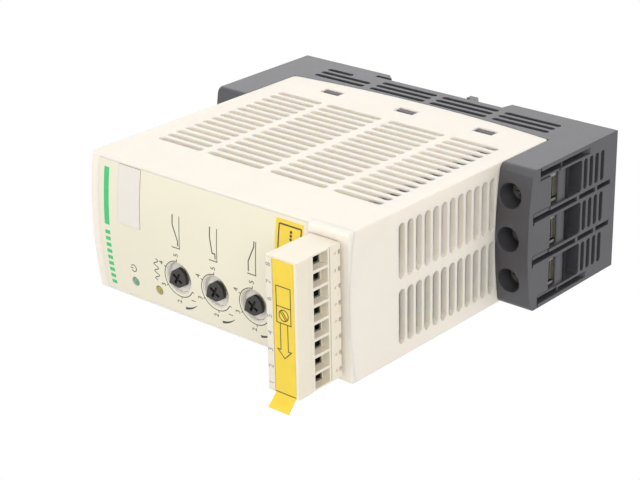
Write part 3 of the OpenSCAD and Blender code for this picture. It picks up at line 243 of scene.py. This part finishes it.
def moulded_polyamide(colours):
    """Glass-filled polyamide: satin, mottled down to its fibres, with glossier flow marks."""
    return surface("Glass filled polyamide", colours.base, rough=0.43, ior=1.53, blotch=9 * MM, mottle=6,
                   vary=0.07, gloss_vary=0.07, grain=0.3 * MM, relief=0.008 * MM, edge=0.35 * MM)


def plug_polyamide(colours):
    """Unfilled polyamide of the plug: smoother than the housing, and waxy."""
    return surface("Plug polyamide", colours.plug, rough=0.4, ior=1.53, blotch=6 * MM, vary=0.012,
                   grain=0.25 * MM, relief=0.004 * MM, Subsurface_Weight=0.2,
                   Subsurface_Radius=(1.2, 0.9, 0.5), Subsurface_Scale=1 * MM)


def marker_polystyrene(colours):
    """Moulded polystyrene: smooth and plain, whiter than the film round it."""
    return surface("Marker polystyrene", colours.marker, rough=0.4, ior=1.55, vary=0.008,
                   relief=0.002 * MM, edge=0.2 * MM)


def trimmer_polyester(colours):
    """Moulded polyester of the trimmers: a dull white well floor behind the dials."""
    return surface("Trimmer polyester", colours.trimmer, rough=0.55, ior=1.55, blotch=2 * MM,
                   vary=0.02, relief=0.004 * MM, edge=0.1 * MM)


def label_polyester(colours):
    """Polyester film printed on its back: flat ivory under a soft gloss."""
    return surface("Label polyester", colours.label, rough=0.38, ior=1.58, blotch=20 * MM, vary=0.012,
                   grain=0.5 * MM, relief=0.002 * MM, edge=0.05 * MM)


def yellow_polyester(colours):
    """Self-adhesive polyester film: strong yellow, a little glossy, with faint ripples."""
    return surface("Yellow polyester", colours.film, rough=0.36, ior=1.58, blotch=5 * MM, vary=0.03,
                   grain=1.5 * MM, relief=0.01 * MM, edge=0.05 * MM)


def dial_nylon(colours):
    """Moulded nylon of the dials: satin, with light on its cut edges."""
    return surface("Dial nylon", colours.knob, rough=0.38, ior=1.53, blotch=2 * MM, vary=0.1,
                   grain=0.2 * MM, relief=0.006 * MM, edge=0.2 * MM)


def lamp_epoxy(name, colour):
    """Cast epoxy of an unlit lamp: light enters the tint and scatters under a glossy skin."""
    return surface(name, colour, rough=0.2, ior=1.55, blotch=1 * MM, vary=0.08, relief=0.001 * MM,
                   edge=0.1 * MM, Subsurface_Weight=0.5, Subsurface_Radius=(0.6, 0.8, 0.5),
                   Subsurface_Scale=1 * MM, Coat_Weight=0.4)


def zinc_steel(colours):
    """Zinc-plated steel: bluish white, with drawn marks and a medium gloss."""
    return surface("Zinc plated steel", colours.zinc, metal=1, rough=0.36, blotch=1.5 * MM, vary=0.12,
                   gloss_vary=0.1, grain=0.12 * MM, relief=0.003 * MM, edge=0.15 * MM,
                   stretch=(1, 4, 1))


def tinned_brass(colours):
    """Rolled brass with a tin coat: grey, with soft lines along the strip."""
    return surface("Tinned brass", colours.tin, metal=1, rough=0.36, blotch=3 * MM, vary=0.08,
                   gloss_vary=0.08, grain=0.2 * MM, relief=0.002 * MM, edge=0.15 * MM,
                   stretch=(1, 1, 8))


def enamelled_copper():
    """Wound copper wire under enamel: amber brown turns of 0.4 mm side by side."""
    return surface("Enamelled copper", linear("#b5713c"), metal=1, rough=0.3, blotch=2 * MM, vary=0.1,
                   grain=0.4 * MM, relief=0.05 * MM, stretch=(30, 1, 30))


def extruded_aluminium():
    """Extruded aluminium: grey, with long die lines."""
    return surface("Extruded aluminium", linear("#c8cacc"), metal=1, rough=0.38, blotch=6 * MM,
                   vary=0.05, gloss_vary=0.08, grain=0.15 * MM, relief=0.004 * MM, stretch=(1, 1, 60))


def board_laminate():
    """Glass-epoxy laminate under solder mask: green, uneven where copper runs below."""
    return surface("Board laminate", linear("#2c6b45"), rough=0.3, ior=1.55, blotch=2.5 * MM,
                   vary=0.12, grain=0.8 * MM, relief=0.01 * MM)


def moulded_epoxy():
    """Moulding compound of the components: matt, black and even."""
    return surface("Moulding compound", linear("#2a2a2c"), rough=0.5, ior=1.55, blotch=3 * MM,
                   vary=0.06, grain=0.2 * MM, relief=0.006 * MM)


def dipped_epoxy():
    """Dipped epoxy of the discs: a thick glossy blue skin."""
    return surface("Dipped epoxy", linear("#2f5fae"), rough=0.2, ior=1.55, blotch=3 * MM, vary=0.06,
                   grain=0.8 * MM, relief=0.02 * MM)


def screen_ink(name, colour):
    """Screen-printed ink: matt, and slightly uneven where it is thin."""
    return surface(name, colour, rough=0.5, blotch=0.8 * MM, vary=0.06, relief=0.001 * MM,
                   edge=0.01 * MM)


def dress(material, *names):
    """Gives CAD nodes their material."""
    for name in names:
        mesh = NODES[name].data
        mesh.materials.clear()
        mesh.materials.append(material)


def box_mid(name):
    low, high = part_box(name)
    return (low + high) / 2


class SOFTSTARTER_OT_dress_housings(Operator):
    """Finish the front housing, the base, the plug and the marker plate"""

    bl_idname = "soft_starter.dress_housings"
    bl_label = "Dress Housings"

    def execute(self, context):
        colours = context.scene.soft_starter_colours
        dress(moulded_abs(colours), "front_housing")
        dress(moulded_polyamide(colours), "base_housing")
        dress(plug_polyamide(colours), "plug_body", "plug_marker", "header_body")
        dress(marker_polystyrene(colours), "marker_plate", "led_spacers")
        return {"FINISHED"}


class SOFTSTARTER_OT_dress_films(Operator):
    """Finish the front film, the sticker and the tape"""

    bl_idname = "soft_starter.dress_films"
    bl_label = "Dress Films"

    def execute(self, context):
        colours = context.scene.soft_starter_colours
        dress(label_polyester(colours), "front_label")
        dress(yellow_polyester(colours), "panel_sticker", "plug_tape")
        return {"FINISHED"}


class SOFTSTARTER_OT_dress_controls(Operator):
    """Finish the dials, their trimmers, the lamps and the rail latch"""

    bl_idname = "soft_starter.dress_controls"
    bl_label = "Dress Controls"

    def execute(self, context):
        colours = context.scene.soft_starter_colours
        dress(dial_nylon(colours), "start_dial", "level_dial", "stop_dial", "rail_latch")
        dress(trimmer_polyester(colours), "start_trimmer", "level_trimmer", "stop_trimmer")
        dress(lamp_epoxy("Green lamp epoxy", colours.green_lamp), "power_led")
        dress(lamp_epoxy("Yellow lamp epoxy", colours.yellow_lamp), "run_led")
        return {"FINISHED"}


class SOFTSTARTER_OT_dress_terminals(Operator):
    """Finish the clamps, screws, contacts and bars"""

    bl_idname = "soft_starter.dress_terminals"
    bl_label = "Dress Terminals"

    def execute(self, context):
        colours = context.scene.soft_starter_colours
        dress(zinc_steel(colours), "line_clamp_boxes", "load_clamp_boxes", "plug_screws", "plug_clamps",
              "latch_spring", *[name for name in NODES if "_saddle_" in name or "_screw_" in name])
        dress(tinned_brass(colours), "header_pins", "plug_contacts",
              *[name for name in NODES if name.endswith("_bar")])
        return {"FINISHED"}


class SOFTSTARTER_OT_dress_boards(Operator):
    """Finish the boards, the heat sink and the components"""

    bl_idname = "soft_starter.dress_boards"
    bl_label = "Dress Boards"

    def execute(self, context):
        colours = context.scene.soft_starter_colours
        dress(board_laminate(), "control_board", "power_board")
        dress(moulded_epoxy(), "thyristor_module", "bypass_relay", "capacitors", "board_connector")
        dress(dipped_epoxy(), "varistors")
        dress(extruded_aluminium(), "heat_sink")
        dress(enamelled_copper(), "transformer_winding")
        dress(zinc_steel(colours), "transformer_core")
        return {"FINISHED"}


class Artwork:
    """Collects flat printed shapes, in metres right and up, and lays them on a surface."""

    def __init__(self):
        self.mesh = bmesh.new()

    def face(self, points):
        self.mesh.faces.new([self.mesh.verts.new((u, v, 0)) for u, v in points])

    def disc(self, centre, radius, steps=20):
        self.face([centre + radius * heading(360 * k / steps) for k in range(steps)])

    def band(self, points, widths, closed=False):
        """A band along the points, as wide at each as its width says, mitred at its corners."""
        count = len(points)
        ways = [(points[(i + 1) % count] - points[i]).normalized() for i in range(count)]
        sides = []
        for i, (point, width) in enumerate(zip(points, widths)):
            into = ways[i - 1] if i or closed else ways[i]
            onward = ways[i] if i < count - 1 or closed else ways[i - 1]
            middle = (into + onward).normalized()
            across = Vector((-middle.y, middle.x)) * width / 2 / middle.dot(into)
            sides.append((point + across, point - across))
        for i in range(count if closed else count - 1):
            (a, b), (c, d) = sides[i], sides[(i + 1) % count]
            self.face([a, b, d, c])

    def line(self, points, width, closed=False):
        """A line of even width along the points."""
        self.band([Vector(point) for point in points], [width] * len(points), closed)

    def arc(self, centre, radius, start, end, width, end_width=None, steps=40):
        """An arc between two angles, in degrees from the right, that may taper to another width."""
        last = width if end_width is None else end_width
        shares = [k / steps for k in range(steps + 1)]
        self.band([centre + radius * heading(start + (end - start) * share) for share in shares],
                  [width + (last - width) * share for share in shares])

    def text(self, words, centre, height):
        """Plain numerals of a given height, centred."""
        curve = bpy.data.curves.new("numeral", "FONT")
        curve.body = words
        curve.size = height / NUMERAL_SHARE
        curve.align_x = "CENTER"
        curve.align_y = "CENTER"
        curve.resolution_u = 3
        holder = bpy.data.objects.new("numeral", curve)
        bpy.context.scene.collection.objects.link(holder)
        bpy.context.view_layer.update()
        flat = bpy.data.meshes.new_from_object(
            holder.evaluated_get(bpy.context.evaluated_depsgraph_get()))
        flat.transform(Matrix.Translation((centre[0], centre[1], 0)))
        self.mesh.from_mesh(flat)
        bpy.data.objects.remove(holder)
        bpy.data.curves.remove(curve)
        bpy.data.meshes.remove(flat)

    def lay(self, name, place, thickness, material, body, slot):
        """Cuts the shapes finely across, lays them by place(u, v, lift) and gives them thickness."""
        mesh = self.mesh
        bmesh.ops.triangulate(mesh, faces=mesh.faces[:])
        across = [vert.co.x for vert in mesh.verts]
        for k in range(1, math.ceil((max(across) - min(across)) / STRIP)):
            bmesh.ops.bisect_plane(mesh, geom=mesh.verts[:] + mesh.edges[:] + mesh.faces[:],
                                   plane_co=(min(across) + k * STRIP, 0, 0), plane_no=(1, 0, 0))
        bmesh.ops.remove_doubles(mesh, verts=mesh.verts[:], dist=WELD)
        under = mesh.verts[:]
        raised = bmesh.ops.extrude_face_region(mesh, geom=mesh.faces[:], use_keep_orig=True)
        over = [part for part in raised["geom"] if isinstance(part, bmesh.types.BMVert)]
        for lift, verts in ((0, under), (thickness, over)):
            for vert in verts:
                vert.co = place(vert.co.x, vert.co.y, lift)
        bmesh.ops.recalc_face_normals(mesh, faces=mesh.faces[:])
        data = bpy.data.meshes.new(name)
        mesh.to_mesh(data)
        mesh.free()
        data.materials.append(material)
        piece = bpy.data.objects.new(name, data)
        bpy.context.scene.collection.objects.link(piece)
        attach(piece, body)


def heading(angle):
    """The way at an angle in degrees, from the right towards up."""
    return Vector((math.cos(math.radians(angle)), math.sin(math.radians(angle))))


def corners(u0, u1, v0, v1):
    return [(u0, v0), (u1, v0), (u1, v1), (u0, v1)]


def rounded(u0, u1, v0, v1, radius, steps=5):
    """Outline of a rectangle with round corners."""
    centres = corners(u0 + radius, u1 - radius, v0 + radius, v1 - radius)
    return [Vector(centre) + radius * heading(180 + 90 * (turn + k / steps))
            for turn, centre in enumerate(centres) for k in range(steps + 1)]


def placed(points, origin):
    """Points given in millimetres, moved to an origin given in metres."""
    return [(origin[0] + u * MM, origin[1] + v * MM) for u, v in points]


def crowned_film():
    """A function that puts a point of the print on the front film, part of a wide cylinder."""
    low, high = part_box("front_label")
    half = (high.x - low.x) / 2
    rise = high.y - low.y - FILM_T
    radius = (half * half + rise * rise) / (2 * rise)

    def place(u, v, lift):
        fall = radius - math.sqrt(radius * radius - u * u)
        return Vector((u, low.y + fall - lift, v))

    return place


def flat_face(y):
    """A function that puts a point of the print on a plane that faces forward."""
    return lambda u, v, lift: Vector((u, y - lift, v))


class SOFTSTARTER_OT_mould_plug_land(Operator):
    """Mould the flat land of the front housing round the mouth of the plug"""

    bl_idname = "soft_starter.mould_plug_land"
    bl_label = "Mould Plug Land"

    def execute(self, context):
        low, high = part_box("front_housing")
        header_low, header_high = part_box("header_body")
        corner, mouth_gap, inset = 1.1 * MM, 0.15 * MM, 0.02 * MM
        half = high.x - inset
        mouth = header_high.x + mouth_gap - inset
        steps = 5
        turn = [half - corner + corner * math.sin(math.radians(90 / steps * k))
                for k in range(steps + 1)]
        columns = sorted([*turn, mouth, -mouth, *[-u for u in turn]])
        rows = [low.z + inset, header_low.z - mouth_gap + inset, header_high.z + mouth_gap,
                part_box("front_label")[0].z - inset]
        plan = Artwork()
        for u0, u1 in zip(columns, columns[1:]):
            for v0, v1 in zip(rows, rows[1:]):
                in_mouth = abs(u0 + u1) / 2 < mouth and v0 == rows[1]
                if not in_mouth:
                    plan.face(corners(u0, u1, v0, v1))
        crown = crowned_film()

        def place(u, v, lift):
            """The flat face with its rounded edges, or its root below the crowned front."""
            reach = max(0, abs(u) - half + corner)
            fall = corner - math.sqrt(max(0, corner ** 2 - reach ** 2))
            return Vector((u, low.y + fall if lift else crown(u, v, 0).y + corner, v))

        plan.lay("plug_land", place, corner, NODES["front_housing"].data.materials[0], "device",
                 "cream_plastic")
        return {"FINISHED"}


class SOFTSTARTER_OT_wind_latch_spring(Operator):
    """Wind the latch's spring as a piece of its own on the device body, in place of the hidden CAD
    spring
    """

    bl_idname = "soft_starter.wind_latch_spring"
    bl_label = "Wind Latch Spring"

    def execute(self, context):
        coil = bpy.data.objects.new("latch_coil", NODES["latch_spring"].data.copy())
        context.scene.collection.objects.link(coil)
        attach(coil, "device")
        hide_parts("latch_spring")
        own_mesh(coil)
        return {"FINISHED"}


class SOFTSTARTER_OT_print_front(Operator):
    """Print the green bars, the dial scales and the signs on the front film"""

    bl_idname = "soft_starter.print_front"
    bl_label = "Print Front"

    def execute(self, context):
        colours = context.scene.soft_starter_colours
        sizes = context.scene.soft_starter_print
        green, dark = Artwork(), Artwork()
        self.bars(green, sizes)
        sign_low = -0.6 * MM
        for dial, shape in DIAL_SIGNS.items():
            middle = box_mid(dial + "_trimmer")
            centre = Vector((middle.x, middle.z))
            self.scale(dark, centre - Vector((sizes.drop, 0)), sizes)
            self.dial_sign(dark, centre + Vector((sizes.sign_out, sign_low)), shape, sizes)
        self.lamp_signs(dark, sizes)
        film = crowned_film()
        green.lay("front_green_print", film, sizes.ink, screen_ink("Green ink", colours.green_ink),
                  "device", "label_film")
        dark.lay("front_dark_print", film, sizes.ink, screen_ink("Dark ink", colours.dark_ink),
                 "device", "label_film")
        return {"FINISHED"}

    def bars(self, art, sizes):
        """One long green bar, and a row of short ones beside it."""
        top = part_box("front_label")[1]
        edge, margin = 3.3 * MM, 2.2 * MM
        middle = top.z - edge
        long_start, first, pitch, short, count = 0.7 * MM, -1.2 * MM, 2.1 * MM, 1.2 * MM, 9
        ends = [(long_start, top.x - margin)]
        ends += [(first - k * pitch - short, first - k * pitch) for k in range(count)]
        for low, high in ends:
            art.face(corners(low, high, middle - sizes.bar / 2, middle + sizes.bar / 2))

    def scale(self, art, centre, sizes):
        """An arc round a dial with a number at each tick, and the wedge that shows the way up."""
        art.arc(centre, sizes.arc, TICK_ANGLES[0], TICK_ANGLES[-1], sizes.line)
        for tick in TICK_ANGLES:
            start = centre + heading(tick) * (sizes.arc + sizes.line / 2)
            art.line([start, start + heading(tick) * sizes.tick], sizes.line)
        for number, angle in zip(range(len(NUMBER_ANGLES), 0, -1), NUMBER_ANGLES):
            art.text(str(number), centre + heading(angle) * sizes.number_out, sizes.number)
        art.arc(centre, sizes.wedge_out, *WEDGE_ANGLES, sizes.wedge, sizes.line / 2)

    def dial_sign(self, art, origin, shape, sizes):
        """What the dial sets, as a bolder curve over a pair of axes."""
        bold = 1.4
        art.line(placed(SIGN_AXES, origin), sizes.line)
        art.line(placed(shape, origin), sizes.line * bold)

    def lamp_signs(self, art, sizes):
        """A power sign beside one lamp, and full waves beside the other."""
        power, run = box_mid("power_led"), box_mid("run_led")
        ring, ring_start, ring_end = 1.1 * MM, 125, 415
        stem_low, stem_high = ring * 0.2, ring * 1.3
        centre = Vector((power.x + sizes.lamp_out + ring, power.z))
        art.arc(centre, ring, ring_start, ring_end, sizes.line)
        art.line([centre + Vector((0, stem_low)), centre + Vector((0, stem_high))], sizes.line)
        wave_steps, waves, wave_length, wave_height = 48, 3, 2.4 * MM, 0.9 * MM
        shares = [k / wave_steps for k in range(wave_steps + 1)]
        art.line([(run.x + sizes.lamp_out + waves * wave_length * share,
                   run.z + wave_height * math.sin(2 * math.pi * waves * share)) for share in shares],
                 sizes.line)


class SOFTSTARTER_OT_print_sticker(Operator):
    """Print a frame and three dots on the sticker"""

    bl_idname = "soft_starter.print_sticker"
    bl_label = "Print Sticker"

    def execute(self, context):
        colours = context.scene.soft_starter_colours
        sizes = context.scene.soft_starter_print
        low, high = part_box("panel_sticker")
        side, foot, head, corner = 1.3 * MM, 0.5 * MM, 1.25 * MM, 0.3 * MM
        art = Artwork()
        outline = rounded(low.x + side, high.x - side, low.z + foot, high.z - head, corner)
        art.line(outline, sizes.frame, closed=True)
        dots, dot, dot_in, dot_pitch, dot_low = 3, 0.45 * MM, 2.9 * MM, 1.05 * MM, 0.8 * MM
        for k in range(dots):
            art.disc(Vector((high.x - dot_in - dot_pitch * k, (low.z + high.z) / 2 - dot_low)), dot)
        film = crowned_film()
        art.lay("sticker_print", lambda u, v, lift: film(u, v, lift + STICKER_T), sizes.ink,
                screen_ink("Sticker ink", colours.dark_ink), "device", "yellow_film")
        return {"FINISHED"}


class SOFTSTARTER_OT_print_plug(Operator):
    """Print the numbers of the plug, and the terminal and arrow on its tape"""

    bl_idname = "soft_starter.print_plug"
    bl_label = "Print Plug"

    def execute(self, context):
        colours = context.scene.soft_starter_colours
        sizes = context.scene.soft_starter_print
        self.numbers(colours, sizes)
        self.tape_lines(colours, sizes)
        return {"FINISHED"}

    def numbers(self, colours, sizes):
        """A number in front of each of the eight ways."""
        low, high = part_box("plug_marker")
        first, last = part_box("plug_clamps")
        ways = 8
        clamp_w = 3.7 * MM
        pitch = (last.x - first.x - clamp_w) / (ways - 1)
        art = Artwork()
        for k in range(ways):
            art.text(str(k + 1), ((k - (ways - 1) / 2) * pitch, (low.z + high.z) / 2), sizes.plug_number)
        art.lay("plug_numbers", flat_face(low.y), sizes.ink, screen_ink("Grey ink", colours.grey_ink),
                "control_plug", "white_plastic")

    def tape_lines(self, colours, sizes):
        """A terminal with its screw and an arrow away from it, printed, and a dark line of painted shade
        where the tape folds.
        """
        low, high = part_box("plug_tape")
        middle = (low.z + high.z) / 2
        half, left, divide, right = 2.5 * MM, 1.4 * MM, 6.2 * MM, 12 * MM
        art = Artwork()
        art.line(corners(left, right, middle - half, middle + half), sizes.line, closed=True)
        art.line([(divide, middle - half), (divide, middle + half)], sizes.line)
        screw, screw_r = Vector(((left + divide) / 2, middle)), 1.6 * MM
        art.arc(screw, screw_r, 0, 360, sizes.line)
        slot_angle, slot_reach, slot_half = 40, 1.5 * MM, 0.3 * MM
        slot_way, slot_side = heading(slot_angle) * slot_reach, heading(slot_angle + 90) * slot_half
        for side in (slot_side, -slot_side):
            art.line([screw - slot_way + side, screw + slot_way + side], sizes.line)
        shaft, head, neck, tip = 1.3 * MM, 2.4 * MM, -6.4 * MM, -8.8 * MM
        art.line([(left, middle + shaft), (neck, middle + shaft), (neck, middle + head), (tip, middle),
                  (neck, middle - head), (neck, middle - shaft), (left, middle - shaft)], sizes.line)
        # The dark line where the tape bends round the plug's edge is painted shade of the crease, drawn
        # in the tape's ink.
        body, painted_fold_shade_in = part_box("plug_body")[0], 0.4 * MM
        painted_fold_shade = body.x + painted_fold_shade_in
        art.line([(painted_fold_shade, low.z), (painted_fold_shade, high.z)], sizes.line)
        art.lay("tape_print_and_fold_shade", flat_face(body.y - FILM_T), sizes.ink,
                screen_ink("Tape ink and painted fold shade", colours.dark_ink), "control_plug", "yellow_film")


class SOFTSTARTER_OT_make_stage(Operator):
    """Set the camera, the pale floor and the studio light"""

    bl_idname = "soft_starter.make_stage"
    bl_label = "Make Stage"

    def execute(self, context):
        self.camera(context)
        self.floor(context)
        self.world(context)
        self.lamps(context)
        context.scene.view_settings.view_transform = "Standard"
        return {"FINISHED"}

    def camera(self, context):
        """The photograph's view: below and before the device, which lies on its side.

        The lens, the place in millimetres and the three ways were fitted to the straight edges.
        """
        right = Vector((-0.0191631, 0.6548730, -0.7554960))
        down = Vector((-0.9190821, -0.3090105, -0.2445416))
        ahead = Vector((-0.3935999, 0.6896766, 0.6078036))
        spot = Vector((205.560, -436.779, -338.389)) * MM
        data = bpy.data.cameras.new("photo_camera")
        data.lens = 100.23
        data.sensor_width = 36
        data.clip_end = 50
        camera = bpy.data.objects.new("photo_camera", data)
        turn = Matrix((right, -down, -ahead)).transposed().to_4x4()
        camera.matrix_world = Matrix.Translation(spot) @ turn
        context.scene.collection.objects.link(camera)
        context.scene.camera = camera

    def floor(self, context):
        """Painted pale floor: matt, and lifted towards white only for the camera and glosses."""
        low = cad_box[0].z - context.scene.soft_starter_studio.drop
        reach, drift_size, lift = 6.0, 0.4, 0.35
        mesh = bpy.data.meshes.new("floor")
        mesh.from_pydata([(u, v, low) for u, v in corners(-reach, reach, -reach, reach)], [],
                         [(0, 1, 2, 3)])
        floor = bpy.data.objects.new("floor", mesh)
        context.scene.collection.objects.link(floor)
        material, place = new_material("Painted floor")
        drift = add_node(material, "ShaderNodeTexNoise", {
            "Vector": place, "Scale": 1 / drift_size, "Detail": 2})
        tone = add_node(material, "ShaderNodeValToRGB", {"Fac": drift.outputs["Fac"]})
        dark, light = tone.color_ramp.elements
        dark.position, light.position = NOISE_BAND
        dark.color = (*linear("#f2f2f2"), 1)
        light.color = (*linear("#f6f6f6"), 1)
        matt = add_node(material, "ShaderNodeBsdfDiffuse", {"Color": tone.outputs["Color"]})
        amount = add_node(material, "ShaderNodeMath", {0: self.seen(material), 1: lift},
                          operation="MULTIPLY")
        glow = add_node(material, "ShaderNodeEmission", {"Strength": amount.outputs["Value"]})
        both = add_node(material, "ShaderNodeAddShader", {
            0: matt.outputs["BSDF"], 1: glow.outputs["Emission"]})
        add_node(material, "ShaderNodeOutputMaterial", {"Surface": both.outputs["Shader"]})
        mesh.materials.append(material)

    def seen(self, material):
        """An output that is 1 for the camera, a gloss or clear plastic, and 0 for the light itself."""
        path = add_node(material, "ShaderNodeLightPath").outputs
        direct = add_node(material, "ShaderNodeMath", {
            0: path["Is Camera Ray"], 1: path["Is Glossy Ray"]}, operation="MAXIMUM")
        return add_node(material, "ShaderNodeMath", {
            0: direct.outputs["Value"], 1: path["Is Transmission Ray"]},
            operation="MAXIMUM").outputs["Value"]

    def world(self, context):
        """Even light on the device, and plain white where the camera or a gloss looks past it."""
        world = bpy.data.worlds.new("studio")
        context.scene.world = world
        world.use_nodes = True
        world.node_tree.nodes.clear()
        even = add_node(world, "ShaderNodeBackground", {
            "Color": (1, 1, 1, 1), "Strength": context.scene.soft_starter_studio.world})
        white = add_node(world, "ShaderNodeBackground", {"Color": (1, 1, 1, 1), "Strength": 1})
        mix = add_node(world, "ShaderNodeMixShader", {
            0: self.seen(world), 1: even.outputs["Background"], 2: white.outputs["Background"]})
        add_node(world, "ShaderNodeOutputWorld", {"Surface": mix.outputs["Shader"]})

    def lamps(self, context):
        """Lamps over the slotted side, before the front and behind, and one that reaches into slots."""
        studio = context.scene.soft_starter_studio
        middle = (cad_box[0] + cad_box[1]) / 2
        far, broad = 1.0, 0.8
        close, narrow = 0.6, 0.3
        for name, way, distance, size, power in (
                ("key_lamp", (1, -0.15, 0.25), far, broad, studio.key),
                ("fill_lamp", (0.25, -1, 0.35), far, broad, studio.fill),
                ("near_lamp", (0.45, -0.6, -0.65), close, narrow, studio.near),
                ("rim_lamp", (0.39, 0.69, 0.61), far, broad, studio.rim)):
            data = bpy.data.lights.new(name, "AREA")
            data.shape = "DISK"
            data.size = size
            data.energy = power
            lamp = bpy.data.objects.new(name, data)
            back = Vector(way).normalized()
            lamp.location = middle + back * distance
            lamp.rotation_euler = back.to_track_quat("Z", "Y").to_euler()
            context.scene.collection.objects.link(lamp)


class SOFTSTARTER_PT_panel(Panel):
    """Lists the steps and their settings in the sidebar"""

    bl_label = "Soft Starter"
    bl_idname = "SOFTSTARTER_PT_panel"
    bl_space_type = "VIEW_3D"
    bl_region_type = "UI"
    bl_category = "Soft Starter"

    def draw(self, context):
        for step in STEPS:
            self.layout.operator(step.bl_idname)
        for settings in GROUPS:
            for name in GROUPS[settings].__annotations__:
                self.layout.prop(getattr(context.scene, settings), name)


STEPS = (
    SOFTSTARTER_OT_make_stage,
    SOFTSTARTER_OT_dress_housings,
    SOFTSTARTER_OT_dress_films,
    SOFTSTARTER_OT_dress_controls,
    SOFTSTARTER_OT_dress_terminals,
    SOFTSTARTER_OT_dress_boards,
    SOFTSTARTER_OT_mould_plug_land,
    SOFTSTARTER_OT_wind_latch_spring,
    SOFTSTARTER_OT_print_front,
    SOFTSTARTER_OT_print_sticker,
    SOFTSTARTER_OT_print_plug,
)
GROUPS = {
    "soft_starter_colours": SoftStarterColours,
    "soft_starter_print": SoftStarterPrint,
    "soft_starter_studio": SoftStarterStudio,
}


def register():
    for cls in (*GROUPS.values(), *STEPS, SOFTSTARTER_PT_panel):
        bpy.utils.register_class(cls)
    for name, group in GROUPS.items():
        setattr(bpy.types.Scene, name, PointerProperty(type=group))


def unregister():
    for name in GROUPS:
        delattr(bpy.types.Scene, name)
    for cls in (SOFTSTARTER_PT_panel, *reversed(STEPS), *GROUPS.values()):
        bpy.utils.unregister_class(cls)


def main():
    register()
    for step in STEPS:
        group, name = step.bl_idname.split(".")
        getattr(getattr(bpy.ops, group), name)()


if __name__ == "__main__":
    main()
